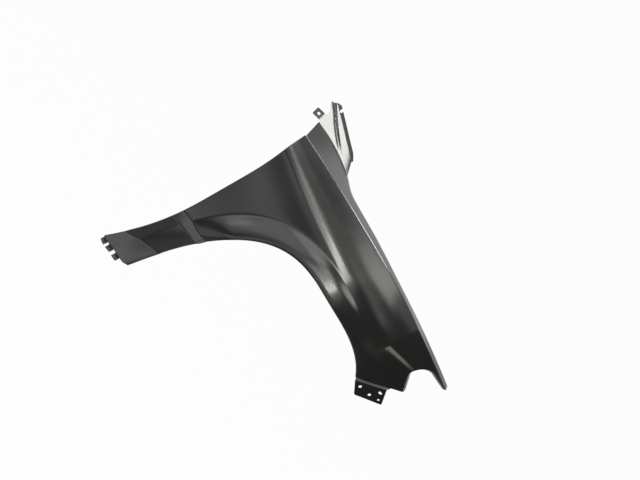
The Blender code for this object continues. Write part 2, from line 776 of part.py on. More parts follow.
def build_fender():
    bm = bmesh.new()
    net = press_skin(bm)
    arch_row = [column[0] for column in net]
    arch_frames = rim_frames(arch_row, [column[1] for column in net])
    door_row = [column[-1] for column in net[:DOOR_LAST + 1]]
    door_frames = rim_frames(door_row, [column[-2] for column in net[:DOOR_LAST + 1]])
    sill_row = net[0]
    sill_frames = rim_frames(sill_row, net[1])
    front_row = net[-1]
    front_frames = rim_frames(front_row, net[-2])
    hood_row = [column[-1] for column in net[DOOR_LAST:]]

    square = (pi / 2, pi / 2)
    turn_rim(bm, arch_row, arch_frames, RIM_RADIUS, square, ARCH_RIM)
    turn_rim(bm, door_row, door_frames, RIM_RADIUS, square, DOOR_FLANGE)
    add_sill_tabs(bm, sill_row, sill_frames, row_shares(*column_ends()[0]))
    plane = add_bracket(bm, front_row[:BRACKET_ROW + 1], front_frames[:BRACKET_ROW + 1])
    notch_part = slice(CHIN_ROW, ROWS)
    turn_rim(
        bm, front_row[notch_part], front_frames[notch_part], RIM_RADIUS,
        (NOTCH_FOLD, FINGER_FOLD), NOTCH_FLANGE,
    )
    strip_row = add_strip(bm, hood_row)
    panel_last = round(PANEL_SHARE * HOOD_COLUMNS)
    rail_last = round(RAIL_FRONT_SHARE * HOOD_COLUMNS)
    rail_rows = add_rail_flange(bm, strip_row[panel_last:rail_last + 1])
    panel = add_panel(bm, strip_row[:panel_last + 1])
    seat, _, _ = rail_spot(rail_rows, RAIL_SEAT_SHARE)
    tab = add_pillar_tab(bm, panel)
    cutters = add_holes(tab, plane, rail_rows)

    bmesh.ops.recalc_face_normals(bm, faces=bm.faces)
    bm.faces.ensure_lookup_table()
    if bm.faces[0].normal.y > 0:
        bmesh.ops.reverse_faces(bm, faces=bm.faces)
    mesh = bpy.data.meshes.new("fender_panel")
    bm.to_mesh(mesh)
    bm.free()
    mesh.shade_smooth()
    mesh.set_sharp_from_angle(angle=SHARP_ANGLE)
    mesh.materials.append(coat_material())
    fender = bpy.data.objects.new("fender_panel", mesh)
    bpy.context.scene.collection.objects.link(fender)

    wall = fender.modifiers.new("sheet", "SOLIDIFY")
    wall.thickness = SHEET
    wall.offset = -1
    holes = fender.modifiers.new("holes", "BOOLEAN")
    holes.operation = "DIFFERENCE"
    holes.solver = "EXACT"
    holes.object = cutters
    cutters.parent = fender
    fender.location = -seat
    return fender


def main():
    for item in list(bpy.data.objects):
        bpy.data.objects.remove(item, do_unlink=True)
    build_fender()


main()
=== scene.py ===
"""Right-hand front car fender: one pressed steel sheet in glossy black primer, in a studio.

Shapes are worked out in metres from the wheel centre, with +X forward, +Y inboard and +Z
up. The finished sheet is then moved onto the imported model's box.
"""

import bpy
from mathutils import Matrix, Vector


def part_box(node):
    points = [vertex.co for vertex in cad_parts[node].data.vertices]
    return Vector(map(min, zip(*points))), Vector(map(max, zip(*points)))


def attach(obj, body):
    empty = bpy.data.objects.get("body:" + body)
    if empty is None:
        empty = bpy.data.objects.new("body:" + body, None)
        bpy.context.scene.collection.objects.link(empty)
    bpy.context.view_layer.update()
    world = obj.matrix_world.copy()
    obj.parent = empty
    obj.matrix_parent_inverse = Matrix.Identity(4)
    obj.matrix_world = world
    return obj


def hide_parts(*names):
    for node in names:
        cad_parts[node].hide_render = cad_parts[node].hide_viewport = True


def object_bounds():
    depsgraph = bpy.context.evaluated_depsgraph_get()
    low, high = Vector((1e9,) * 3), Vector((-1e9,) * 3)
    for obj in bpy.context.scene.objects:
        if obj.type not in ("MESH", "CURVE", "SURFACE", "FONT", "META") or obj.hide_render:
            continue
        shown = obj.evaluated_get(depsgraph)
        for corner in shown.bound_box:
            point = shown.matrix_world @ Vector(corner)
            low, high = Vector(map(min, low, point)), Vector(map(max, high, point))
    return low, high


bl_info = {
    "name": "Car fender",
    "version": (1, 0, 0),
    "blender": (4, 5, 0),
    "location": "3D View > Sidebar > Fender",
    "description": "Presses a car fender's sheet, coats it and lights it in a pale studio",
    "category": "Object",
}

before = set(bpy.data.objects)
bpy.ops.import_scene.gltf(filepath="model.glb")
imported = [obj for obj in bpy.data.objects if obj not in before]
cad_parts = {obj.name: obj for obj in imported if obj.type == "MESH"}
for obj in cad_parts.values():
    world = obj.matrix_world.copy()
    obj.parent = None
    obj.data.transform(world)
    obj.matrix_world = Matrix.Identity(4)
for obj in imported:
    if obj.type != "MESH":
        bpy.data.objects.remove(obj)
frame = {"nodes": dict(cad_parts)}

from math import acos, asin, atan2, cos, hypot, pi, radians, sin, sqrt

import bmesh
import bpy
from mathutils import Matrix, Vector

CAD_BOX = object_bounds()
NODE = "fender_panel"
AHEAD, INBOARD, UP = (Vector(way) for way in ((1, 0, 0), (0, 1, 0), (0, 0, 1)))
# Step for reading a slope, half the height of a hole's cutter, and halvings of a search.
PROBE = 0.0005
CUTTER_REACH = 0.006
SEARCH_STEPS = 40


def length(name, default, description):
    return bpy.props.FloatProperty(
        name=name, default=default, description=description, unit="LENGTH", precision=4,
    )


def share(name, default, description):
    return bpy.props.FloatProperty(
        name=name, default=default, description=description, subtype="FACTOR", precision=3,
    )


def number(name, default, description):
    return bpy.props.FloatProperty(
        name=name, default=default, description=description, precision=3,
    )


def angle(name, degrees, description):
    return bpy.props.FloatProperty(
        name=name, default=radians(degrees), description=description, unit="ROTATION",
    )


def count(name, default, description):
    return bpy.props.IntProperty(name=name, default=default, description=description, min=1)


def colour(name, default, description):
    return bpy.props.FloatVectorProperty(
        name=name, default=default, description=description, subtype="COLOR", size=3,
        min=0, max=1,
    )


def place(name, default, description):
    return bpy.props.FloatVectorProperty(
        name=name, default=default, description=description, subtype="XYZ", unit="LENGTH",
    )


class SheetSizes(bpy.types.PropertyGroup):
    """The steel and how tightly it is folded."""
    thickness: length("Thickness", 0.0008, "Gauge of the steel")
    rim_radius: length("Rim radius", 0.0025, "Radius of the folds round the rims")
    fold_radius: length("Fold radius", 0.0030, "Radius of the fold above the rail flange")
    sharp: angle("Sharp", 32, "Folds steeper than this are shaded sharp")


class ArchSizes(bpy.types.PropertyGroup):
    """The wheel arch edge, a squared ellipse, and the flare round it."""
    x: length("Centre X", -0.017, "Middle of the arch, forward of the wheel centre")
    z: length("Centre Z", -0.532, "Height of the squared ellipse's centre")
    half_width: length("Half width", 0.390, "Half the opening's width")
    rise: length("Rise", 0.944, "Height of the opening above its centre")
    power: number("Squareness", 2.87, "Power of the squared ellipse; 2 is a plain one")
    heel: length("Heel", 0.003, "How far the arm's foot kicks back")
    heel_z: length("Heel Z", 0.000, "Height below which the heel starts")
    rim: length("Rim", 0.012, "Depth of the turned rim")
    front_x: length("Front X", 0.209, "Where the arch meets the bumper line")
    flare_band: length("Flare band", 0.062, "Width of the flare from its crease to the edge")
    flare_depth: length("Flare depth", 0.030, "How far the flare stands out")
    arm_flare_depth: length("Arm flare depth", 0.010, "The same at the foot of the arm")
    lip_band: length("Lip band", 0.030, "Width along the edge that rolls under")
    lip_roll: length("Lip roll", 0.002, "How far the edge rolls under behind the wheel centre")
    fade_z: length("Fade Z", 0.100, "Height where the flare starts to deepen")
    fade_rise: length("Fade rise", 0.150, "Height over which it deepens")
    soft_x: length("Soft X", -0.030, "Where the flare's crease starts to soften")
    soft_run: length("Soft run", 0.200, "Length over which it softens")
    crisp_share: share("Crisp", 0.03, "Rounding of the crease where it is crisp")
    soft_share: share("Soft", 0.90, "Further rounding where it has faded")


class DoorSizes(bpy.types.PropertyGroup):
    """The door edge and the sill edge."""
    x: length("Door X", -0.449, "The door edge's straight stretch")
    low_z: length("Low Z", 0.200, "Height below which the edge sweeps back")
    low_sweep: length("Low sweep", 0.058, "How far it sweeps back at the sill")
    high_z: length("High Z", 0.360, "Height above which it sweeps back")
    high_sweep: length("High sweep", 0.016, "How far it sweeps back at the hood line")
    flange: length("Flange", 0.012, "Depth of the turned flange")
    sill_front_z: length("Sill front Z", -0.120, "The sill edge at the arch")
    sill_rear_z: length("Sill rear Z", -0.156, "The sill edge at the door")


class HoodSizes(bpy.types.PropertyGroup):
    """The line where the sheet folds over beside the hood."""
    peak_x: length("Peak X", -0.050, "Where the line is highest")
    height: length("Height", 0.577, "Its height there")
    front_run: length("Front run", 0.410, "From the peak to the front")
    front_fall: length("Front fall", 0.071, "Fall over the front run")
    rear_run: length("Rear run", 0.414, "From the peak to the rear")
    rear_fall: length("Rear fall", 0.013, "Fall over the rear run")
    inset: length("Inset", 0.100, "How far inboard of the side the line lies")
    taper: number("Taper", 0.060, "How it drifts inboard towards the front")
    wrap: length("Wrap", 0.104, "How far the front wraps round")
    finger_x: length("Finger X", 0.374, "The front end of the line")
    bend: length("Bend", 0.0032, "Arc length of the fold along the line")


class SectionSizes(bpy.types.PropertyGroup):
    """Slopes below the hood line, as metres inboard for each metre up."""
    crease_slope: number("Crease slope", -1.05, "At the hood line")
    hollow_slope: number("Hollow slope", -0.40, "In the hollow")
    shoulder_slope: number("Shoulder slope", -0.85, "Above the ridge")
    side_slope: number("Side slope", 0.14, "Below the ridge")
    waist_slope: number("Waist slope", -0.10, "At the waist")
    arm_slope: number("Arm slope", 0.15, "Down the arm")
    hollow_share: share("Hollow", 0.33, "Where the hollow starts, from line to ridge")
    shoulder_share: share("Shoulder", 0.62, "Where the shoulder starts")
    hollow_soft_share: share("Hollow softness", 0.30, "Rounding of the hollow")
    ridge_soft_share: share("Ridge softness", 0.20, "Rounding of the ridge")
    ridge_drop: length("Ridge drop", 0.093, "The ridge below the hood line's peak")
    ridge_lift: length("Ridge lift", 0.026, "How the ridge climbs to the rear")
    ridge_run: length("Ridge run", 0.530, "Length over which it climbs")
    ridge_level_x: length("Ridge level X", 0.130, "Forward of this it is level")
    waist_drop: length("Waist drop", 0.110, "The waist below the ridge")
    waist_soft: length("Waist softness", 0.100, "Rounding of the waist")
    arm_soft: length("Arm softness", 0.010, "Rounding where the arm starts")


class ArmSizes(bpy.types.PropertyGroup):
    """The ledge across the arm and the flat facet at its foot."""
    ledge_x: length("Ledge X", -0.360, "Where the ledge's height is taken")
    ledge_z: length("Ledge Z", 0.152, "Its upper edge there")
    ledge_height: length("Ledge height", 0.023, "Height of the ledge's face")
    ledge_step: length("Ledge step", 0.014, "How far the sheet below stands out")
    top_grade: number("Top grade", 0.20, "Fall of the upper edge to the rear")
    foot_grade: number("Foot grade", 0.34, "Fall of the lower edge to the rear")
    facet_x: length("Facet X", -0.430, "Where the facet's height is taken")
    facet_z: length("Facet Z", -0.041, "Its upper edge there")
    facet_grade: number("Facet grade", 0.75, "Fall of its upper edge to the rear")
    facet_slope: number("Facet slope", 0.22, "How it leans out")


class FrontSizes(bpy.types.PropertyGroup):
    """The front edge: bumper line, headlamp notch and the finger above it."""
    notch_back: length("Notch back", 0.066, "The notch's centre behind the finger's tip")
    notch_drop: length("Notch drop", 0.099, "Its centre below the hood line's peak")
    notch_radius: length("Notch radius", 0.037, "Radius of the notch")
    notch_flange: length("Notch flange", 0.010, "Width of the flange in the notch")
    notch_fold: angle("Notch fold", 40, "How far that flange turns back at the chin")
    finger_fold: angle("Finger fold", 88, "How far it turns back under the finger")
    chin_ahead: length("Chin ahead", 0.008, "The corner below the notch, ahead of its centre")
    chin_drop: length("Chin drop", 0.074, "That corner below the notch's centre")


class StripSizes(bpy.types.PropertyGroup):
    """The strip beside the hood and the rail flange turned down from it."""
    rise: angle("Rise", 15, "How the strip rises inboard")
    width: length("Width", 0.086, "Its greatest width")
    lean: length("Lean", 0.016, "How far its rear end leans back")
    rail_depth: length("Rail depth", 0.022, "Depth of the rail flange")
    rail_end_depth: length("Rail end depth", 0.0055, "Its depth at either end")
    rail_taper: length("Rail taper", 0.060, "Length of each tapered end")
    rail_front_share: share("Rail front", 0.90, "Where the rail flange ends")
    slot_width: length("Slot width", 0.008, "Width of its bolt slots")
    slot_length: length("Slot length", 0.014, "Length of its bolt slots")


class PanelSizes(bpy.types.PropertyGroup):
    """The rear upper panel with its bead and upstand, and the pillar tab."""
    rise: angle("Rise", 30, "How the panel rises inboard")
    end_share: share("End", 0.200, "Its front end, as a share of the hood line")
    rear_width: length("Rear width", 0.093, "Width along its rear edge")
    front_width: length("Front width", 0.036, "Width along its front edge")
    rear_lean: length("Rear lean", 0.020, "How its rear edge leans back")
    front_lean: length("Front lean", 0.028, "How its front edge leans back")
    sag: length("Sag", 0.010, "How its inboard edge bows in")
    peak_lean: length("Peak lean", 0.017, "How far the peak reaches back")
    peak_share: share("Peak", 0.84, "Place of the peak along the rear edge")
    peak_rear_share: share("Peak rise", 0.25, "Length of its outboard side, as a share")
    peak_inner_share: share("Peak fall", 0.17, "Length of its inboard side, as a share")
    bead_depth: length("Bead depth", 0.0045, "Depth of the V-shaped bead")
    bead_rear_share: share("Bead rear", 0.93, "Place of the bead at the rear")
    bead_front_share: share("Bead front", 0.15, "Its place at the front")
    bead_run_share: share("Bead run", 0.68, "Where it has come across to there")
    bead_end_share: share("Bead end", 0.74, "Where it fades out")
    upstand: length("Upstand", 0.0115, "Height of the folded-up edge")
    upstand_tip: length("Upstand tip", 0.0060, "Its height at the front end")
    upstand_tip_share: share("Upstand taper", 0.12, "Length over which it rises from there")
    upstand_cut: length("Upstand cut", 0.013, "How far its rear end is cut forward")
    upstand_cut_fall: length("Upstand cut fall", 0.0035, "How much lower it is there")
    nick_share: share("Nick", 0.15, "Place of the nick in the upstand")
    nick_width: length("Nick width", 0.009, "Width of the nick")
    nick_depth: length("Nick depth", 0.006, "Depth of the nick")
    upstand_rise: angle("Upstand rise", 75, "How steeply it stands")
    tab_length: length("Tab length", 0.0285, "Length of the pillar tab")
    tab_fold: length("Tab fold", 0.003, "Width of the fold at its root")
    tab_drop: angle("Tab drop", 8, "How it dips")
    tab_corner: length("Tab corner", 0.003, "Radius of its corners")
    tab_hole: length("Tab hole", 0.0105, "Its bolt hole")
    tab_hole_share: share("Tab hole place", 0.50, "Place of the hole along the tab")


class BracketSizes(bpy.types.PropertyGroup):
    """The stepped bumper bracket, and the sill tabs."""
    step_reach: length("Step reach", 0.018, "Width of the step below the bumper line")
    step_inset: length("Step inset", 0.006, "How far it steps inboard")
    rear_reach: length("Rear reach", 0.053, "Depth of the plate at its rear side")
    front_reach: length("Front reach", 0.060, "Depth of the plate at its front side")
    near_rear: length("Near rear", 0.007, "Rear end of the plate's near edge")
    near_front: length("Near front", 0.111, "Front end of the near edge")
    far_rear: length("Far rear", 0.031, "Rear end of the far edge")
    far_front: length("Far front", 0.126, "Front end of the far edge")
    corner: length("Corner", 0.012, "Radius of the far corners")
    hole: length("Hole", 0.010, "The two larger bolt holes")
    small_hole: length("Small hole", 0.0075, "The small hole and the slot's width")
    slot: length("Slot", 0.014, "Length of the slot")
    sill_lip: length("Sill lip", 0.0055, "How far the sill edge bows out")
    lip_share: share("Sill lip ends", 0.12, "Length over which it does, at either end")
    tab_length: length("Sill tab length", 0.018, "How far the sill tabs reach")
    tab_lean: length("Sill tab lean", 0.005, "How far they lean to the door")
    tab_step: length("Sill tab step", 0.0015, "How far they step inboard")
    tab_neck: length("Sill tab neck", 0.004, "Length of that step")


class NetCounts(bpy.types.PropertyGroup):
    """How finely the sheet is divided."""
    facet: count("Facet columns", 16, "Columns across the facet")
    arm: count("Arm columns", 24, "Columns up the arm")
    ledge: count("Ledge columns", 8, "Columns across the ledge")
    door: count("Door columns", 56, "Columns along the door edge")
    hood: count("Hood columns", 160, "Columns along the hood line")
    front: count("Front columns", 48, "Last columns that turn to the front edge")
    flare: count("Flare rows", 24, "Rows across the flare")
    body: count("Body rows", 64, "Rows above the flare")
    chin: count("Chin row", 32, "Row at the corner below the notch")
    flank: count("Flank row", 44, "Row where the notch's arc starts")
    notch: count("Notch row", 72, "Row where it ends")
    bracket: count("Bracket row", 24, "Row where the bracket ends")
    fold: count("Fold steps", 5, "Steps round a fold")
    run: count("Run steps", 3, "Rows along a flange")
    strip: count("Strip steps", 5, "Rows across the strip")
    panel: count("Panel rows", 36, "Rows across the upper panel")
    tab: count("Tab rows", 6, "Rows along the pillar tab")
    tab_corner: count("Tab corner steps", 4, "Steps round a corner of the pillar tab")
    neck: count("Neck steps", 2, "Rows across the sill lip and a tab's neck")
    plate: count("Plate rows", 8, "Rows down the bracket's plate")
    plate_corner: count("Plate corner steps", 8, "Steps round a corner of that plate")
    hole: count("Hole sides", 32, "Sides of a hole")


class CoatFinish(bpy.types.PropertyGroup):
    """The baked black primer."""
    base: colour("Base", (0.0100, 0.0100, 0.0108), "Colour of the primer")
    dusty: colour("Dusty", (0.0170, 0.0170, 0.0165), "Colour where it is thin or dusty")
    gloss: share("Gloss roughness", 0.13, "Roughness of the smooth coat")
    haze: share("Haze", 0.08, "Roughness added in hazy patches")
    haze_scale: number("Haze scale", 9, "Hazy patches to a metre")
    haze_detail: number("Haze detail", 5, "Layers of finer patches")
    haze_blend: share("Haze blend", 0.62, "How strongly the finer patches show")
    peel_size: length("Peel size", 0.0045, "Size of the orange peel's dimples")
    peel_depth: length("Peel depth", 0.000006, "Depth of the orange peel")
    peel_detail: number("Peel detail", 2, "Layers of finer dimples")
    peel_blend: share("Peel blend", 0.50, "How strongly the finer dimples show")


class StudioSizes(bpy.types.PropertyGroup):
    """The camera, the lamps and the pale floor."""
    target: place("Target", (-0.2101, -0.0482, -0.1202), "Point the camera looks at")
    distance: length("Distance", 4.31, "From the camera to that point")
    elevation: angle("Elevation", 25, "How far the camera looks down")
    roll: angle("Roll", 61.5, "How far the camera is turned on its side")
    lens: number("Lens", 85, "Focal length in millimetres")
    floor_gap: length("Floor gap", 1.56, "From the fender's foot down to the floor")
    floor_size: length("Floor size", 40, "Width of the floor")
    floor: colour("Floor", (0.80, 0.80, 0.80), "Colour of the floor")
    floor_roughness: share("Floor roughness", 0.90, "Roughness of the floor")
    floor_sheen: share("Floor sheen", 0.10, "How much the floor reflects")
    shadow: share("Shadow", 0.03, "How much of the floor's own shading is seen")
    sky: share("Sky", 0.20, "Strength of the surroundings where they light the object")


class FenderSettings(bpy.types.PropertyGroup):
    """All sizes, counts and colours."""
    sheet: bpy.props.PointerProperty(type=SheetSizes)
    arch: bpy.props.PointerProperty(type=ArchSizes)
    door: bpy.props.PointerProperty(type=DoorSizes)
    hood: bpy.props.PointerProperty(type=HoodSizes)
    section: bpy.props.PointerProperty(type=SectionSizes)
    arm: bpy.props.PointerProperty(type=ArmSizes)
    front: bpy.props.PointerProperty(type=FrontSizes)
    strip: bpy.props.PointerProperty(type=StripSizes)
    panel: bpy.props.PointerProperty(type=PanelSizes)
    bracket: bpy.props.PointerProperty(type=BracketSizes)
    net: bpy.props.PointerProperty(type=NetCounts)
    coat: bpy.props.PointerProperty(type=CoatFinish)
    studio: bpy.props.PointerProperty(type=StudioSizes)


# Places along the hood line, and the strip's width there as a share of its greatest.
STRIP_SHARES = (
    (0.000, 0.97), (0.075, 1.00), (0.150, 0.88), (0.205, 0.69), (0.245, 0.46),
    (0.280, 0.37), (0.420, 0.32), (0.585, 0.21), (0.800, 0.17), (1.000, 0.15),
)
# Start and end of the pillar tab along the panel's rear edge.
TAB_ROOT_SHARES = (0.079, 0.396)
# Half widths of the bead towards the strip and towards the upstand, rear and front.
BEAD_LOW_SHARES = (0.05, 0.28)
BEAD_HIGH_SHARES = (0.05, 0.24)
# Slots along the rail flange, and start and end of each sill tab from the door forwards.
RAIL_SLOT_SHARES = (0.14, 0.50, 0.86)
SILL_TAB_SHARES = ((0.00, 0.17), (0.24, 0.43), (0.54, 0.72))
# Holes of the bumper bracket, as shares along the bumper line and down the plate.
BRACKET_HOLE_SHARES = ((0.18, 0.31), (0.52, 0.64))
BRACKET_SMALL_SHARES = (0.85, 0.76)
BRACKET_SLOT_SHARES = (0.84, 0.29)
# Arch turn, in radians, of the column that runs to the rear end of the hood line.
CORNER_ANGLE = 0.80
# Columns over which the shape of the upper panel's rear edge fades out.
REAR_COLUMNS = 4
# Step along the panel that gives the nick's direction.
PANEL_PROBE_SHARE = 0.01
# Greatest share of a column that the flare's rows take up.
FLARE_LIMIT_SHARE = 0.90

# Name, turn and height in degrees, distance, width and tallness in metres, radiance, tint.
LAMPS = (
    ("side_high", -42, 36, 4.0, 3.2, 1.9, 2.3, (1, 1, 0.97)),
    ("side_low", -42, 8, 4.0, 3.6, 1.7, 0.9, (1, 1, 0.97)),
    ("near_high", -13, 30, 4.0, 1.1, 1.3, 1.5, (1, 1, 0.97)),
    ("edge_soft", -3, 14, 4.0, 0.8, 4.0, 2.7, (1, 0.99, 0.94)),
    ("edge_strip", 3.4, 12, 4.0, 0.21, 2.9, 27.0, (1, 0.97, 0.88)),
    ("front_top", 23.5, 55, 4.0, 1.6, 1.5, 4.2, (0.96, 1, 0.92)),
    ("rear_fill", 165, 45, 4.0, 2.9, 2.9, 1.9, (1, 1, 1)),
)
# The same for lamps that show in reflections but light no matt surface.
GLOSS_LAMPS = (
    ("overhead", -107, 73.5, 3.14, 0.84, 0.74, 20.0, (0.97, 1, 0.94)),
    ("line_strip", 90, 89.2, 3.0, 1.7, 0.62, 26.0, (1, 1, 1)),
    ("fan_card", -17, -24, 3.55, 0.7, 1.1, 0.5, (1, 1, 1)),
    ("facet_card", -43.6, -41.9, 1.56, 1.0, 0.15, 1.15, (1, 1, 1)),
    ("flare_card", -66, -1.5, 4.0, 1.5, 0.6, 1.3, (1, 1, 0.96)),
    ("notch_glow", 61.7, 1.4, 2.81, 0.83, 1.0, 3.4, (1.0, 0.87, 0.76)),
)
# Painted reflections: cards that glow at a fixed shade and only reflections see, which put dark
# and grey patches onto the sheet.
# Name, turns in degrees, near and far edge as radius and height in metres, shade.
FLAGS = (
    ("front_flag", (14, 34), (3.2, -2.1), (3.2, 2.75), 0.06),
    ("side_flag", (34, 95), (3.2, -2.1), (3.2, 3.7), 0.06),
    ("arm_flag", (-75, -24), (2.55, -1.22), (2.55, -0.62), 0.06),
    ("arm_end_flag", (-24, -14), (2.55, -1.06), (2.55, -0.72), 0.06),
    ("near_mat", (-70, 14), (0.1, -1.75), (1.6, -1.75), 0.5),
    ("front_mat", (-25, 14), (1.6, -1.75), (2.9, -1.75), 0.08),
    ("rear_mat", (-70, -25), (1.6, -1.75), (2.35, -1.75), 0.08),
    ("hollow_flag", (-14, 5), (2.46, 2.20), (1.45, 2.88), 0.45),
    ("crease_flag", (5, 26), (2.46, 2.08), (2.30, 2.24), 0.35),
)
FLAG_STEPS = 12


def clip(value):
    return max(0.0, min(1.0, value))


def mix(a, b, t):
    return a + (b - a) * t


def between(a, b, t):
    return mix(a[0], b[0], t), mix(a[1], b[1], t)


def soft_ramp(t, blend):
    """Zero for low t and t for high t, with a rounded corner as wide as the blend."""
    return (t + sqrt(t * t + blend * blend)) / 2


def soft_step(t):
    t = clip(t)
    return t * t * (3 - 2 * t)


def read_shares(table, t):
    """A smooth reading of a table of (place, share) pairs."""
    places = [row[0] for row in table]
    values = [row[1] for row in table]
    last = len(table) - 1
    k = 0
    while k < last - 1 and t > places[k + 1]:
        k += 1
    span = places[k + 1] - places[k]
    t = clip((t - places[k]) / span)
    before = max(k - 1, 0)
    after = min(k + 2, last)
    rise_in = (values[k + 1] - values[before]) / (places[k + 1] - places[before]) * span
    rise_out = (values[after] - values[k]) / (places[after] - places[k]) * span
    a = (2 * t ** 3 - 3 * t ** 2 + 1) * values[k] + (t ** 3 - 2 * t ** 2 + t) * rise_in
    b = (3 * t ** 2 - 2 * t ** 3) * values[k + 1] + (t ** 3 - t ** 2) * rise_out
    return a + b


def nearest(shares, wanted):
    """Place in a list of the share nearest to the one wanted."""
    return min(range(len(shares)), key=lambda k: abs(shares[k] - wanted))


def halve(test, low, high):
    """The place between low and high where the test turns from true to false."""
    for _ in range(SEARCH_STEPS):
        middle = (low + high) / 2
        if test(middle):
            low = middle
        else:
            high = middle
    return low


def facing(way, guide):
    """The way or its opposite, whichever points along the guide."""
    return -way if way.dot(guide) < 0 else way


class Shape:
    """The surface of the skin and the strip, worked out from the sizes."""

    def __init__(self, sizes):
        self.arch = sizes.arch
        self.door = sizes.door
        self.hood = sizes.hood
        self.cut = sizes.section
        self.arm = sizes.arm
        self.strip = sizes.strip

    def hood_rear_x(self):
        return self.door.x - self.door.high_sweep

    def hood_z(self, x):
        hood = self.hood
        d = x - hood.peak_x
        if d < 0:
            return hood.height - hood.rear_fall * (d / hood.rear_run) ** 2
        return hood.height - hood.front_fall * (d / hood.front_run) ** 2

    def hood_y(self, x):
        hood = self.hood
        d = x - hood.peak_x
        return hood.inset + hood.taper * d + hood.wrap * (max(d, 0) / hood.front_run) ** 2

    def ridge_z(self, x):
        cut = self.cut
        climb = (min(x - cut.ridge_level_x, 0) / cut.ridge_run) ** 2
        return self.hood.height - cut.ridge_drop + cut.ridge_lift * climb

    def ledge_top(self, x):
        return self.arm.ledge_z + self.arm.top_grade * (x - self.arm.ledge_x)

    def ledge_foot(self, x):
        arm = self.arm
        return arm.ledge_z - arm.ledge_height + arm.foot_grade * (x - arm.ledge_x)

    def facet_line(self, x):
        return self.arm.facet_z + self.arm.facet_grade * (x - self.arm.facet_x)

    def section(self, x, z):
        """Outboard shape below the hood line: crease, hollow, shoulder, side, waist, arm."""
        cut = self.cut
        below = self.hood_z(x) - z
        ridge = self.hood_z(x) - self.ridge_z(x)
        soft = cut.hollow_soft_share * ridge
        turns = (
            (cut.crease_slope, cut.hollow_slope, below - cut.hollow_share * ridge, soft),
            (cut.hollow_slope, cut.shoulder_slope, below - cut.shoulder_share * ridge, soft),
            (cut.shoulder_slope, cut.side_slope, below - ridge, cut.ridge_soft_share * ridge),
            (cut.side_slope, cut.waist_slope, below - ridge - cut.waist_drop, cut.waist_soft),
            (cut.waist_slope, cut.arm_slope, self.ledge_top(x) - z, cut.arm_soft),
        )
        y = cut.crease_slope * below
        return y + sum((after - before) * soft_ramp(t, b) for before, after, t, b in turns)

    def arch_distance(self, x, z):
        """Distance from the arch edge, to first order, positive on the sheet."""
        arch = self.arch
        power = arch.power
        u = abs(x - arch.x) / arch.half_width
        v = max(z - arch.z, 0) / arch.rise
        rho = (u ** power + v ** power) ** (1 / power)
        steep = hypot(u ** (power - 1) / arch.half_width, v ** (power - 1) / arch.rise)
        return (rho - 1) / (steep * rho ** (1 - power))

    def flare(self, x, z):
        """How far the flare round the arch stands out of the side."""
        arch = self.arch
        t = 1 - self.arch_distance(x, z) / arch.flare_band
        fade = clip((x - arch.soft_x) / arch.soft_run) ** 2
        rise = min(soft_ramp(t, arch.crisp_share + arch.soft_share * fade), 1)
        deep = soft_step((z - arch.fade_z) / arch.fade_rise)
        return mix(arch.arm_flare_depth, arch.flare_depth, deep) * (1 - (1 - rise) ** 2)

    def arm_form(self, x, z):
        """The ledge across the arm and the facet below it, behind the arch's middle."""
        arm = self.arm
        if x > self.arch.x:
            return 0
        height = max(self.ledge_top(x) - self.ledge_foot(x), arm.ledge_step)
        step = arm.ledge_step * clip((self.ledge_top(x) - z) / height)
        return step + arm.facet_slope * max(self.facet_line(x) - z, 0)

    def lip(self, x, z):
        """How far the flare's edge rolls under, which fades out towards the front."""
        arch = self.arch
        near = clip(1 - self.arch_distance(x, z) / arch.lip_band)
        return arch.lip_roll * near ** 2 * soft_step((arch.soft_x - x) / arch.soft_run)

    def skin(self, x, z):
        """The skin's point at a place on the side view."""
        y = self.hood_y(x) + self.section(x, z) - self.flare(x, z) - self.arm_form(x, z)
        return Vector((x, y + self.lip(x, z), z))

    def skin_normal(self, x, z):
        """Unit normal of the skin, outboard."""
        along = self.skin(x + PROBE, z) - self.skin(x - PROBE, z)
        up = self.skin(x, z + PROBE) - self.skin(x, z - PROBE)
        return along.cross(up).normalized()

    def door_x(self, z):
        door = self.door
        low = max(door.low_z - z, 0) / (door.low_z - door.sill_rear_z)
        high = max(z - door.high_z, 0) / (self.hood_z(self.hood_rear_x()) - door.high_z)
        return door.x - door.low_sweep * low ** 2 - door.high_sweep * high ** 2

    def arch_point(self, turn):
        """A point of the arch edge; the turn runs from the arm over the top to the front."""
        arch = self.arch
        c = cos(turn)
        reach = arch.half_width * abs(c) ** (2 / arch.power)
        z = arch.z + arch.rise * sin(turn) ** (2 / arch.power)
        drop = max(arch.heel_z - z, 0) / (arch.heel_z - self.door.sill_front_z)
        return (arch.x - reach - arch.heel * drop ** 2 if c > 0 else arch.x + reach), z

    def arch_turn_at_z(self, z):
        return asin(((z - self.arch.z) / self.arch.rise) ** (self.arch.power / 2))

    def arch_turn_at_x(self, x):
        reach = (x - self.arch.x) / self.arch.half_width
        return pi / 2 + asin(reach ** (self.arch.power / 2))

    def inboard_way(self, x, rise):
        """Unit direction square to the hood line in plan, rising inboard by an angle."""
        grade = (self.hood_y(x + PROBE) - self.hood_y(x - PROBE)) / (2 * PROBE)
        flat = Vector((-grade, 1, 0)).normalized()
        return flat * cos(rise) + UP * sin(rise)

    def hood_at(self, x):
        return Vector((x, self.hood_y(x), self.hood_z(x)))

    def hood_point(self, t):
        return self.hood_at(mix(self.hood_rear_x(), self.hood.finger_x, t))

    def strip_edge(self, t):
        """Outer edge of the strip, at a share of the hood line's length."""
        start = self.hood_point(t)
        start.x -= self.strip.lean * (1 - t) ** 2
        start = self.hood_at(start.x)
        width = self.strip.width * read_shares(STRIP_SHARES, t)
        return start + width * self.inboard_way(start.x, self.strip.rise)


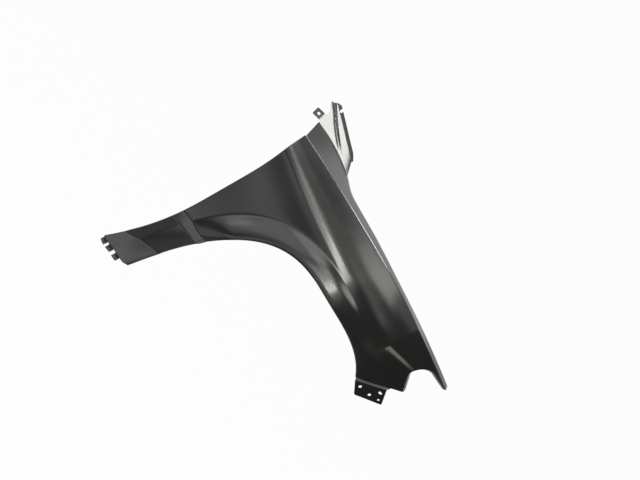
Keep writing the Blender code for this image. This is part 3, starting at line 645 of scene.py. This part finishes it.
class Press:
    """Presses the sheet: lays the net of the skin, then folds every rim from it."""

    def __init__(self, sizes):
        self.sizes = sizes
        self.net = sizes.net
        self.shape = Shape(sizes)
        self.columns = sum((self.net.facet, self.net.arm, self.net.ledge, self.net.door,
                            self.net.hood))
        self.rows = self.net.flare + self.net.body
        self.door_last = self.columns - self.net.hood
        self.bm = bmesh.new()
        self.cuts = bmesh.new()

    def arm_stations(self):
        """Columns from the sill to the hood line's rear end: (arch turn, door Z, count)."""
        shape = self.shape
        door = self.sizes.door
        foot = shape.arch_turn_at_z(door.sill_front_z)
        stations = [(foot, door.sill_rear_z, self.net.facet)]
        lines = (
            (shape.facet_line, self.net.arm),
            (shape.ledge_foot, self.net.ledge),
            (shape.ledge_top, self.net.door),
        )
        for line, columns in lines:
            turn = halve(lambda a: shape.arch_point(a)[1] < line(shape.arch_point(a)[0]),
                         foot, CORNER_ANGLE)
            z = halve(lambda h: h < line(shape.door_x(h)), door.sill_rear_z, door.high_z)
            stations.append((turn, z, columns))
        stations.append((CORNER_ANGLE, shape.hood_z(shape.hood_rear_x()), 0))
        return stations

    def column_ends(self):
        """The arch end and the outer end of every column, as (x, z) pairs."""
        shape = self.shape
        ends = []
        stations = self.arm_stations()
        for (turn, z, columns), (next_turn, next_z, _) in zip(stations, stations[1:]):
            for k in range(columns):
                t = k / columns
                height = mix(z, next_z, t)
                arch_end = shape.arch_point(mix(turn, next_turn, t))
                ends.append((arch_end, (shape.door_x(height), height)))
        front_turn = shape.arch_turn_at_x(self.sizes.arch.front_x)
        for k in range(self.net.hood + 1):
            t = k / self.net.hood
            top = shape.hood_point(t)
            ends.append((shape.arch_point(mix(CORNER_ANGLE, front_turn, t)), (top.x, top.z)))
        return ends

    def row_shares(self, inner, outer):
        """Shares of a column for each row, with one row on the flare's crease."""
        band = self.sizes.arch.flare_band
        crease = halve(lambda t: self.shape.arch_distance(*between(inner, outer, t)) < band, 0, 1)
        crease = min(crease, FLARE_LIMIT_SHARE)
        shares = [crease * j / self.net.flare for j in range(self.net.flare)]
        return shares + [mix(crease, 1, j / self.net.body) for j in range(self.net.body + 1)]

    def notch_turn(self, centre, point, side):
        """Angle on the notch's circle where a straight edge from a point touches it."""
        x = point[0] - centre[0]
        z = point[1] - centre[1]
        return atan2(z, x) + side * acos(min(self.sizes.front.notch_radius / hypot(x, z), 1))

    def front_edge(self):
        """Bumper line, notch flank, notch arc, then the finger's underside."""
        front = self.sizes.front
        hood = self.sizes.hood
        net = self.net
        centre = (hood.finger_x - front.notch_back, hood.height - front.notch_drop)
        start = self.shape.arch_point(self.shape.arch_turn_at_x(self.sizes.arch.front_x))
        chin = (centre[0] + front.chin_ahead, centre[1] - front.chin_drop)
        tip = (hood.finger_x, self.shape.hood_z(hood.finger_x))
        first = self.notch_turn(centre, chin, -1) + 2 * pi
        final = self.notch_turn(centre, tip, 1)
        arc = []
        for j in range(net.notch - net.flank + 1):
            turn = mix(first, final, j / (net.notch - net.flank))
            arc.append((centre[0] + front.notch_radius * cos(turn),
                        centre[1] + front.notch_radius * sin(turn)))
        flank = net.flank - net.chin
        finger = self.rows - net.notch
        points = [between(start, chin, j / net.chin) for j in range(net.chin)]
        points += [between(chin, arc[0], j / flank) for j in range(flank)]
        return points + arc + [between(arc[-1], tip, (j + 1) / finger) for j in range(finger)]

    def skin_places(self):
        """Every point of the skin's net, column by column."""
        ends = self.column_ends()
        plain = self.columns - self.net.front
        places = []
        for inner, outer in ends[:plain + 1]:
            shares = self.row_shares(inner, outer)
            places.append([between(inner, outer, t) for t in shares])
        front = self.front_edge()
        last = places[-1]
        for i in range(1, self.net.front + 1):
            t = i / self.net.front
            inner, outer = ends[plain + i]
            inner_plain = between(last[0], front[0], t)
            outer_plain = between(last[-1], front[-1], t)
            column = []
            for j in range(self.rows + 1):
                x, z = between(last[j], front[j], t)
                up = j / self.rows
                x += mix(inner[0] - inner_plain[0], outer[0] - outer_plain[0], up)
                z += mix(inner[1] - inner_plain[1], outer[1] - outer_plain[1], up)
                column.append((x, z))
            places.append(column)
        return places

    def press_skin(self):
        """Lay a flat net of quads onto the skin's surface; returns its columns of points."""
        bmesh.ops.create_grid(self.bm, x_segments=self.columns, y_segments=self.rows, size=1)
        places = self.skin_places()
        net = [[None] * (self.rows + 1) for _ in range(self.columns + 1)]
        for vert in self.bm.verts:
            i = round((vert.co.x + 1) / 2 * self.columns)
            j = round((vert.co.y + 1) / 2 * self.rows)
            net[i][j] = vert
        for i, column in enumerate(net):
            for j, vert in enumerate(column):
                vert.co = self.shape.skin(*places[i][j])
        return net

    def extend(self, row, places):
        """Extrude a row of edges and put the new points at the given places."""
        edges = [self.bm.edges.get((a, b)) for a, b in zip(row, row[1:])]
        made = bmesh.ops.extrude_edge_only(self.bm, edges=edges)
        fresh = {item for item in made["geom"] if isinstance(item, bmesh.types.BMVert)}
        new_row = []
        for vert in row:
            twins = [edge.other_vert(vert) for edge in vert.link_edges]
            new_row.append(next(twin for twin in twins if twin in fresh))
        for vert, spot in zip(new_row, places):
            vert.co = spot
        return new_row

    def run(self, row, places, steps):
        """Extend a row to its places in equal steps."""
        starts = [vert.co.copy() for vert in row]
        for k in range(1, steps + 1):
            row = self.extend(row, [a.lerp(b, k / steps) for a, b in zip(starts, places)])
        return row

    def round_corners(self, row, radius, segments):
        """Round the corners at both ends of an outer row."""
        bmesh.ops.bevel(
            self.bm, geom=[row[0], row[-1]], offset=radius, affect="VERTICES",
            segments=segments, profile=0.5, material=-1,
        )

    def rim_frames(self, row, inner_row):
        """For each point of a rim: its place, the way off the sheet and the way back."""
        frames = []
        last = len(row) - 1
        for k, vert in enumerate(row):
            tangent = row[min(k + 1, last)].co - row[max(k - 1, 0)].co
            normal = self.shape.skin_normal(vert.co.x, vert.co.z)
            away = facing(tangent.cross(normal).normalized(), vert.co - inner_row[k].co)
            frames.append((vert.co.copy(), away, -normal))
        return frames

    def bend_back(self, row, frames, folds, radius):
        """Bend a row round a radius, each point from its way out towards its way back."""
        for step in range(1, self.net.fold + 1):
            places = []
            for fold, (place, out, back) in zip(folds, frames):
                turn = fold * step / self.net.fold
                places.append(place + radius * sin(turn) * out + radius * (1 - cos(turn)) * back)
            row = self.extend(row, places)
        return row

    def bend_up(self, row, rises, arc):
        """Bend a row from one inboard rise to another, along an arc of a given length."""
        step = arc / self.net.fold
        for k in range(self.net.fold):
            rise = mix(*rises, (k + 0.5) / self.net.fold)
            ways = [self.shape.inboard_way(vert.co.x, rise) for vert in row]
            row = self.extend(row, [vert.co + step * way for vert, way in zip(row, ways)])
        return row

    def turn_rim(self, row, frames, angles, depth):
        """Fold a rim back through an angle that may change along it, then run it straight."""
        last = len(row) - 1
        folds = [mix(*angles, k / last) for k in range(last + 1)]
        row = self.bend_back(row, frames, folds, self.sizes.sheet.rim_radius)
        ways = [cos(fold) * out + sin(fold) * back for fold, (_, out, back) in zip(folds, frames)]
        return self.run(row, [v.co + depth * w for v, w in zip(row, ways)], self.net.run)

    def fold_strip(self, crease_row):
        """Fold the sheet over at the hood line and run the strip to its outer edge."""
        last = len(crease_row) - 1
        steep = pi / 2 - atan2(-self.sizes.section.crease_slope, 1)
        row = self.bend_up(crease_row, (steep, self.sizes.strip.rise), self.sizes.hood.bend)
        edge = [self.shape.strip_edge(k / last) for k in range(last + 1)]
        return self.run(row, edge, self.net.strip)

    def panel_point(self, u, w):
        """A point of the upper panel: u runs forward, w from the strip to the upstand."""
        panel = self.sizes.panel
        base = self.shape.strip_edge(u * panel.end_share)
        lean = mix(panel.rear_lean, panel.front_lean, u) * w
        spread = panel.peak_rear_share if w < panel.peak_share else panel.peak_inner_share
        peak = clip(1 - abs(w - panel.peak_share) / spread)
        lean += panel.peak_lean * peak * self.rear_share(u)
        width = mix(panel.rear_width, panel.front_width, u) - panel.sag * 4 * u * (1 - u)
        way = self.shape.inboard_way(base.x, panel.rise)
        down = self.shape.inboard_way(base.x, panel.rise - pi / 2)
        return base + width * w * way + self.bead(u, w) * down - Vector((lean, 0, 0))

    def rear_share(self, u):
        """One at the panel's rear edge, falling to zero over its first columns."""
        return clip(1 - u * self.net.hood * self.sizes.panel.end_share / REAR_COLUMNS)

    def bead(self, u, w):
        """Depth of the V-shaped bead, which widens forward and fades at its tip."""
        panel = self.sizes.panel
        t = clip(u / panel.bead_run_share)
        middle = mix(panel.bead_rear_share, panel.bead_front_share, t)
        low = mix(*BEAD_LOW_SHARES, t)
        high = mix(*BEAD_HIGH_SHARES, t)
        across = (middle - w) / low if w < middle else (w - middle) / high
        fade = soft_step(u / panel.bead_end_share)
        return panel.bead_depth * (1 - fade) * (1 - soft_step(across))

    def raise_panel(self, base_row):
        """Raise the upper panel from the strip's rear part, with its bead and upstand."""
        last = len(base_row) - 1
        shares = [k / last for k in range(last + 1)]
        rows = [base_row]
        for r in range(1, self.net.panel + 1):
            w = r / self.net.panel
            rows.append(self.extend(rows[-1], [self.panel_point(u, w) for u in shares]))
        panel = self.sizes.panel
        tops = [self.upstand_point(v.co, u) for v, u in zip(rows[-1], shares)]
        arc = self.sizes.sheet.rim_radius * (panel.upstand_rise - panel.rise)
        row = self.bend_up(rows[-1], (panel.rise, panel.upstand_rise), arc)
        self.run(row, tops, self.net.run)
        foot = self.panel_point(panel.nick_share, 1)
        top = self.upstand_point(foot, panel.nick_share)
        rise = (top - foot).normalized()
        ahead = self.panel_point(panel.nick_share + PANEL_PROBE_SHARE, 1) - foot
        self.punch(top, rise.cross(ahead).normalized(), rise, panel.nick_width,
                   panel.nick_width + 2 * panel.nick_depth)
        return rows

    def upstand_point(self, foot, u):
        """Top of the upstand above a point of its foot; its rear end is cut at a slant."""
        panel = self.sizes.panel
        cut = self.rear_share(u)
        height = mix(panel.upstand_tip, panel.upstand, clip((1 - u) / panel.upstand_tip_share))
        height -= panel.upstand_cut_fall * cut
        ahead = Vector((panel.upstand_cut * cut, 0, 0))
        return foot + height * self.shape.inboard_way(foot.x, panel.upstand_rise) + ahead

    def add_pillar_tab(self, rows):
        """The square tab on the panel's rear edge, with its bolt hole."""
        panel = self.sizes.panel
        low, high = (round(t * self.net.panel) for t in TAB_ROOT_SHARES)
        root = [row[0] for row in rows[low:high + 1]]
        across = (root[-1].co - root[0].co).normalized()
        ahead = (rows[low][REAR_COLUMNS].co - rows[low][0].co).normalized()
        normal = facing(ahead.cross(across).normalized(), UP)
        rear = facing(across.cross(normal).normalized(), -AHEAD)
        fold = rear * cos(panel.tab_drop) - normal * sin(panel.tab_drop)
        width = (root[-1].co - root[0].co).length
        start = root[0].co.copy()
        last = len(root) - 1
        line = [start + across * width * k / last for k in range(last + 1)]
        neck = self.run(root, [p + panel.tab_fold * rear for p in line], self.net.neck)
        end = self.run(neck, [v.co + panel.tab_length * fold for v in neck], self.net.tab)
        middle = (neck[0].co + neck[-1].co) / 2
        middle += fold * panel.tab_length * panel.tab_hole_share
        self.round_corners(end, panel.tab_corner, self.net.tab_corner)
        self.punch(middle, across.cross(fold).normalized(), across, panel.tab_hole,
                   panel.tab_hole)

    def add_rail_flange(self, row):
        """Turn the strip's outer edge straight down and punch its bolt slots."""
        strip = self.sizes.strip
        last = len(row) - 1
        frames = [(v.co.copy(), self.shape.inboard_way(v.co.x, 0), -UP) for v in row]
        row = self.bend_back(row, frames, [pi / 2] * len(row), self.sizes.sheet.fold_radius)
        ends = []
        for vert in row:
            span = min((row[last].co - vert.co).length, (vert.co - row[0].co).length)
            depth = mix(strip.rail_end_depth, strip.rail_depth, clip(span / strip.rail_taper))
            ends.append(vert.co - depth * UP)
        upper = [vert.co.copy() for vert in row]
        self.run(row, ends, self.net.run)
        for t in RAIL_SLOT_SHARES:
            k = min(int(t * last), last - 1)
            along = (upper[k + 1] - upper[k]).normalized()
            normal = facing(along.cross(UP).normalized(), INBOARD)
            centre = (upper[k] + upper[k + 1] + ends[k] + ends[k + 1]) / 4
            self.punch(centre, normal, UP.cross(normal), strip.slot_width, strip.slot_length)

    def add_bracket(self, row, frames):
        """Step the bumper line inboard and run the bolt plate down from it."""
        bracket = self.sizes.bracket
        start = frames[0][0]
        along = (frames[-1][0] - start).normalized()
        back = sum((frame[2] for frame in frames), Vector()).normalized()
        back = (back - along * back.dot(along)).normalized()
        away = facing(back.cross(along).normalized(), frames[0][1])

        def plate(u, w):
            """A point of the plate: u runs along the bumper line, w down from it."""
            near = mix(bracket.near_rear, bracket.near_front, u)
            far = mix(bracket.far_rear, bracket.far_front, u)
            reach = bracket.step_reach + mix(bracket.rear_reach, bracket.front_reach, u) * w
            return start + along * mix(near, far, w) + away * reach + back * bracket.step_inset

        last = len(row) - 1
        begins = [vert.co.copy() for vert in row]
        roots = [plate(k / last, 0) for k in range(last + 1)]
        steps = 2 * self.net.fold
        for k in range(1, steps + 1):
            t = k / steps
            places = []
            for a, b in zip(begins, roots):
                flat = a.lerp(b, t)
                inset = (b - a).dot(back)
                places.append(flat + back * inset * (soft_step(t) - t))
            row = self.extend(row, places)
        for k in range(1, self.net.plate + 1):
            w = k / self.net.plate
            row = self.extend(row, [plate(m / last, w) for m in range(last + 1)])
        self.round_corners(row, bracket.corner, self.net.plate_corner)
        for u, w in BRACKET_HOLE_SHARES:
            self.punch(plate(u, w), back, along, bracket.hole, bracket.hole)
        small = bracket.small_hole
        self.punch(plate(*BRACKET_SMALL_SHARES), back, along, small, small)
        ahead = (AHEAD - back * back.dot(AHEAD)).normalized()
        self.punch(plate(*BRACKET_SLOT_SHARES), back, ahead, small, bracket.slot)

    def add_sill_tabs(self, row, frames, shares):
        """Bow the sill edge out by a lip, then run the three tabs from it."""
        bracket = self.sizes.bracket
        lips = [bracket.sill_lip * clip(min(t, 1 - t) / bracket.lip_share) for t in shares]
        bows = [place + lip * out for lip, (place, out, _) in zip(lips, frames)]
        row = self.run(row, bows, self.net.neck)
        reach = bracket.tab_length - bracket.tab_neck
        for low, high in SILL_TAB_SHARES:
            first, last = nearest(shares, 1 - high), nearest(shares, 1 - low)
            verts = row[first:last + 1]
            ways = frames[first:last + 1]
            neck = [v.co + bracket.tab_neck * out + bracket.tab_step * back
                    for v, (_, out, back) in zip(verts, ways)]
            neck_row = self.run(verts, neck, self.net.neck)
            lean = bracket.tab_lean * (verts[-1].co - verts[0].co).normalized()
            ends = [v.co + reach * way[1] + lean for v, way in zip(neck_row, ways)]
            self.run(neck_row, ends, self.net.run)

    def punch(self, centre, normal, along, width, slot):
        """Add a round or long cutter, square to the sheet, to the cutters' mesh."""
        side = normal.cross(along).normalized()
        turn = Matrix((along, side, normal)).transposed().to_4x4()
        made = bmesh.ops.create_circle(
            self.cuts, cap_ends=True, segments=self.net.hole, radius=width / 2,
        )
        half = (slot - width) / 2
        for vert in made["verts"]:
            vert.co.x += half if vert.co.x > 0 else -half
            vert.co.z = -CUTTER_REACH
            vert.co = centre + turn @ vert.co
        face = made["verts"][0].link_faces[0]
        tall = bmesh.ops.extrude_face_region(self.cuts, geom=[face])
        top = [item for item in tall["geom"] if isinstance(item, bmesh.types.BMVert)]
        bmesh.ops.translate(self.cuts, verts=top, vec=normal * 2 * CUTTER_REACH)

    def press(self):
        """Press and fold the whole sheet, its faces outboard for the wall to grow inboard."""
        net = self.press_skin()
        sizes = self.sizes
        arch_row = [column[0] for column in net]
        arch_frames = self.rim_frames(arch_row, [column[1] for column in net])
        door_row = [column[-1] for column in net[:self.door_last + 1]]
        door_frames = self.rim_frames(door_row, [c[-2] for c in net[:self.door_last + 1]])
        sill_frames = self.rim_frames(net[0], net[1])
        front_frames = self.rim_frames(net[-1], net[-2])
        hood_row = [column[-1] for column in net[self.door_last:]]
        front_row = net[-1]

        square = (pi / 2, pi / 2)
        self.turn_rim(arch_row, arch_frames, square, sizes.arch.rim)
        self.turn_rim(door_row, door_frames, square, sizes.door.flange)
        self.add_sill_tabs(net[0], sill_frames, self.row_shares(*self.column_ends()[0]))
        last = self.net.bracket + 1
        self.add_bracket(front_row[:last], front_frames[:last])
        part = slice(self.net.chin, self.rows)
        folds = (sizes.front.notch_fold, sizes.front.finger_fold)
        self.turn_rim(front_row[part], front_frames[part], folds, sizes.front.notch_flange)
        strip_row = self.fold_strip(hood_row)
        panel_last = round(sizes.panel.end_share * self.net.hood)
        rail_last = round(sizes.strip.rail_front_share * self.net.hood)
        self.add_rail_flange(strip_row[panel_last:rail_last + 1])
        self.add_pillar_tab(self.raise_panel(strip_row[:panel_last + 1]))
        bmesh.ops.recalc_face_normals(self.bm, faces=self.bm.faces)
        self.bm.faces.ensure_lookup_table()
        if self.bm.faces[0].normal.y > 0:
            bmesh.ops.reverse_faces(self.bm, faces=self.bm.faces)
        bmesh.ops.recalc_face_normals(self.cuts, faces=self.cuts.faces)


def mesh_object(name, bm):
    """Turn a bmesh into a linked object at the origin."""
    mesh = bpy.data.meshes.new(name)
    bm.to_mesh(mesh)
    bm.free()
    piece = bpy.data.objects.new(name, mesh)
    bpy.context.scene.collection.objects.link(piece)
    return piece


def settle(piece):
    """Replace a piece's mesh by what its modifiers make of it."""
    bpy.context.view_layer.update()
    depsgraph = bpy.context.evaluated_depsgraph_get()
    mesh = bpy.data.meshes.new_from_object(piece.evaluated_get(depsgraph))
    piece.modifiers.clear()
    piece.data = mesh


def mesh_box(piece):
    """Lowest and highest corner of a piece's mesh."""
    places = [vert.co for vert in piece.data.vertices]
    low = [min(p[axis] for p in places) for axis in range(3)]
    high = [max(p[axis] for p in places) for axis in range(3)]
    return low, high


def box_middle(box):
    low, high = box
    return (Vector(low) + Vector(high)) / 2


class Socket:
    """A shader value that Python's operators turn into Math nodes."""

    def __init__(self, nodes, value):
        self.nodes = nodes
        self.value = value

    def maths(self, operation, *others):
        """A Math node on this value and others."""
        values = dict(enumerate([self, *others]))
        return self.nodes.add("ShaderNodeMath", {"operation": operation}, values)

    def __add__(self, other):
        return self.maths("ADD", other)

    def __radd__(self, other):
        return self.maths("ADD", other)

    def __mul__(self, other):
        return self.maths("MULTIPLY", other)

    def __rmul__(self, other):
        return self.maths("MULTIPLY", other)


class Nodes:
    """A material's or world's node tree."""

    def __init__(self, tree):
        self.tree = tree
        tree.nodes.clear()

    def add(self, kind, settings=None, values=None, output=0):
        """Add a node: its settings first, then the values or links of its sockets."""
        node = self.tree.nodes.new(kind)
        for key, setting in (settings or {}).items():
            setattr(node, key, setting)
        for key, value in (values or {}).items():
            if isinstance(value, Socket):
                self.tree.links.new(value.value, node.inputs[key])
            else:
                node.inputs[key].default_value = value
        return Socket(self, node.outputs[output]) if node.outputs else None


def new_material(name):
    material = bpy.data.materials.new(name)
    material.use_nodes = True
    return material, Nodes(material.node_tree)


def primer_material(coat):
    """Glossy black electro-coated primer with faint orange peel and hazy patches."""
    material, nodes = new_material("black_primer")
    where = nodes.add("ShaderNodeTexCoord", output="Object")
    haze = nodes.add("ShaderNodeTexNoise", None, {
        "Vector": where, "Scale": coat.haze_scale, "Detail": coat.haze_detail,
        "Roughness": coat.haze_blend,
    })
    peel = nodes.add("ShaderNodeTexNoise", None, {
        "Vector": where, "Scale": 1 / coat.peel_size, "Detail": coat.peel_detail,
        "Roughness": coat.peel_blend,
    })
    base = nodes.add("ShaderNodeMix", {"data_type": "RGBA"}, {
        0: haze, 6: (*coat.base, 1), 7: (*coat.dusty, 1),
    }, output=2)
    normal = nodes.add("ShaderNodeBump", None, {
        "Height": peel, "Distance": coat.peel_depth, "Strength": 1.0,
    })
    shader = nodes.add("ShaderNodeBsdfPrincipled", None, {
        "Base Color": base, "Roughness": haze * coat.haze + coat.gloss, "Normal": normal,
        "Metallic": 0.0,
    })
    nodes.add("ShaderNodeOutputMaterial", None, {"Surface": shader})
    return material


class FENDER_OT_press(bpy.types.Operator):
    """Press the fender's sheet, punch its holes and coat it"""
    bl_idname = "fender.press"
    bl_label = "Press Fender"

    def execute(self, context):
        sizes = context.scene.fender
        press = Press(sizes)
        press.press()
        sheet = mesh_object("fender_sheet", press.bm)
        cutters = mesh_object("hole_cutters", press.cuts)
        wall = sheet.modifiers.new("sheet", "SOLIDIFY")
        wall.thickness = sizes.sheet.thickness
        wall.offset = -1
        holes = sheet.modifiers.new("holes", "BOOLEAN")
        holes.operation = "DIFFERENCE"
        holes.solver = "EXACT"
        holes.object = cutters
        settle(sheet)
        bpy.data.objects.remove(cutters)
        shift = box_middle(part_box(NODE)) - box_middle(mesh_box(sheet))
        sheet.data.transform(Matrix.Translation(shift))
        sheet.data.shade_smooth()
        sheet.data.set_sharp_from_angle(angle=sizes.sheet.sharp)
        sheet.data.materials.clear()
        sheet.data.materials.append(primer_material(sizes.coat))
        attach(sheet, "root")
        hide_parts(NODE)
        return {"FINISHED"}


def add_camera(studio):
    """Stand the camera at the photograph's angle, turned on its side."""
    camera = bpy.data.cameras.new("camera")
    camera.lens = studio.lens
    back = sin(studio.elevation) * UP - cos(studio.elevation) * INBOARD
    upright = back.cross(AHEAD)
    right = cos(studio.roll) * AHEAD + sin(studio.roll) * upright
    up = cos(studio.roll) * upright - sin(studio.roll) * AHEAD
    holder = bpy.data.objects.new("camera", camera)
    holder.rotation_euler = Matrix((right, up, back)).transposed().to_euler()
    holder.location = Vector(studio.target) + studio.distance * back
    bpy.context.scene.collection.objects.link(holder)
    bpy.context.scene.camera = holder


def seen_directly(nodes):
    """One where the camera looks straight, by a reflection or through glass, else zero."""
    seen = nodes.add("ShaderNodeLightPath", output="Is Camera Ray")
    for ray in ("Is Glossy Ray", "Is Transmission Ray"):
        seen = seen + nodes.add("ShaderNodeLightPath", output=ray)
    return seen


def light_world(studio):
    """White where the camera and reflections look, softer where it lights the object."""
    world = bpy.data.worlds.new("studio")
    bpy.context.scene.world = world
    world.use_nodes = True
    nodes = Nodes(world.node_tree)
    strength = seen_directly(nodes) * (1 - studio.sky) + studio.sky
    shader = nodes.add("ShaderNodeBackground", None, {
        "Color": (1, 1, 1, 1), "Strength": strength.maths("MINIMUM", 1.0),
    })
    nodes.add("ShaderNodeOutputWorld", None, {"Surface": shader})


def floor_material(studio):
    """Pale floor that reads white to the camera and to gloss, and keeps a soft shadow."""
    material, nodes = new_material("pale_floor")
    matt = nodes.add("ShaderNodeBsdfPrincipled", None, {
        "Base Color": (*studio.floor, 1), "Roughness": studio.floor_roughness,
        "Specular IOR Level": studio.floor_sheen,
    })
    glow = nodes.add("ShaderNodeEmission", None, {"Color": (1, 1, 1, 1), "Strength": 1.0})
    shader = nodes.add("ShaderNodeMixShader", None, {
        0: seen_directly(nodes) * (1 - studio.shadow), 1: matt, 2: glow,
    })
    nodes.add("ShaderNodeOutputMaterial", None, {"Surface": shader})
    return material


def flag_material(name, shade):
    """Fixed grey glow of one of the studio's flags, a painted reflection that no lamp lights."""
    material, nodes = new_material(name)
    painted_reflection = nodes.add("ShaderNodeEmission", None, {
        "Color": (shade, shade, shade, 1), "Strength": 1.0,
    })
    nodes.add("ShaderNodeOutputMaterial", None, {"Surface": painted_reflection})
    return material


def stage_place(turn, radius, height):
    """A place round the fender, turned from straight outboard towards its front."""
    return Vector((radius * sin(turn), -radius * cos(turn), height))


def add_flag(name, turns, near, far, shade):
    """A curved card that only reflections see, spun from one edge round the fender; its fixed
    glow paints a dark or grey reflection onto the sheet.
    """
    start, stop = (radians(turn) for turn in turns)
    bm = bmesh.new()
    edge = [bm.verts.new(stage_place(start, *end)) for end in (near, far)]
    bm.edges.new(edge)
    bmesh.ops.spin(
        bm, geom=[*edge, *bm.edges], cent=(0, 0, 0), axis=(0, 0, 1), angle=stop - start,
        steps=FLAG_STEPS, use_merge=False,
    )
    flag = mesh_object(name, bm)
    flag.data.materials.append(flag_material(name, shade))
    flag.visible_camera = False
    flag.visible_diffuse = False
    flag.visible_shadow = False


def add_lamp(name, turn, height, distance, width, tall, radiance, tint):
    """A softbox of a given radiance that faces the fender."""
    turn, height = radians(turn), radians(height)
    lamp = bpy.data.lights.new(name, "AREA")
    lamp.shape = "RECTANGLE"
    lamp.size = width
    lamp.size_y = tall
    lamp.energy = radiance * pi * width * tall
    lamp.color = tint
    holder = bpy.data.objects.new(name, lamp)
    holder.location = stage_place(turn, distance * cos(height), distance * sin(height))
    holder.rotation_euler = (-holder.location).to_track_quat("-Z", "Y").to_euler()
    bpy.context.scene.collection.objects.link(holder)
    return holder


class FENDER_OT_stage(bpy.types.Operator):
    """Lay the pale floor, hang the lamps and stand the camera"""
    bl_idname = "fender.stage"
    bl_label = "Set Stage"

    def execute(self, context):
        scene = context.scene
        studio = scene.fender.studio
        scene.view_settings.view_transform = "Standard"
        light_world(studio)
        bm = bmesh.new()
        bmesh.ops.create_grid(bm, x_segments=1, y_segments=1, size=studio.floor_size / 2)
        low = CAD_BOX[0][2] - studio.floor_gap
        bmesh.ops.translate(bm, verts=bm.verts, vec=(0, 0, low))
        floor = mesh_object("floor", bm)
        floor.data.materials.append(floor_material(studio))
        for row in LAMPS:
            add_lamp(*row)
        for row in GLOSS_LAMPS:
            add_lamp(*row).visible_diffuse = False
        # The flags paint dark and grey reflections onto the sheet.
        for row in FLAGS:
            add_flag(*row)
        add_camera(studio)
        return {"FINISHED"}


class FENDER_PT_panel(bpy.types.Panel):
    """Lists the fender's operators and sizes"""
    bl_idname = "FENDER_PT_panel"
    bl_label = "Fender"
    bl_space_type = "VIEW_3D"
    bl_region_type = "UI"
    bl_category = "Fender"

    def draw(self, context):
        layout = self.layout
        for operator in OPERATORS:
            layout.operator(operator.bl_idname)
        settings = context.scene.fender
        for key in FenderSettings.__annotations__:
            group = getattr(settings, key)
            box = layout.box()
            box.label(text=key.title())
            for size in group.__annotations__:
                box.prop(group, size)


GROUPS = (
    SheetSizes, ArchSizes, DoorSizes, HoodSizes, SectionSizes, ArmSizes, FrontSizes,
    StripSizes, PanelSizes, BracketSizes, NetCounts, CoatFinish, StudioSizes, FenderSettings,
)
OPERATORS = (FENDER_OT_press, FENDER_OT_stage)
CLASSES = (*GROUPS, *OPERATORS, FENDER_PT_panel)


def register():
    for cls in CLASSES:
        bpy.utils.register_class(cls)
    bpy.types.Scene.fender = bpy.props.PointerProperty(type=FenderSettings)


def unregister():
    del bpy.types.Scene.fender
    for cls in reversed(CLASSES):
        bpy.utils.unregister_class(cls)


def main():
    register()
    bpy.ops.fender.press()
    bpy.ops.fender.stage()


if __name__ == "__main__":
    main()
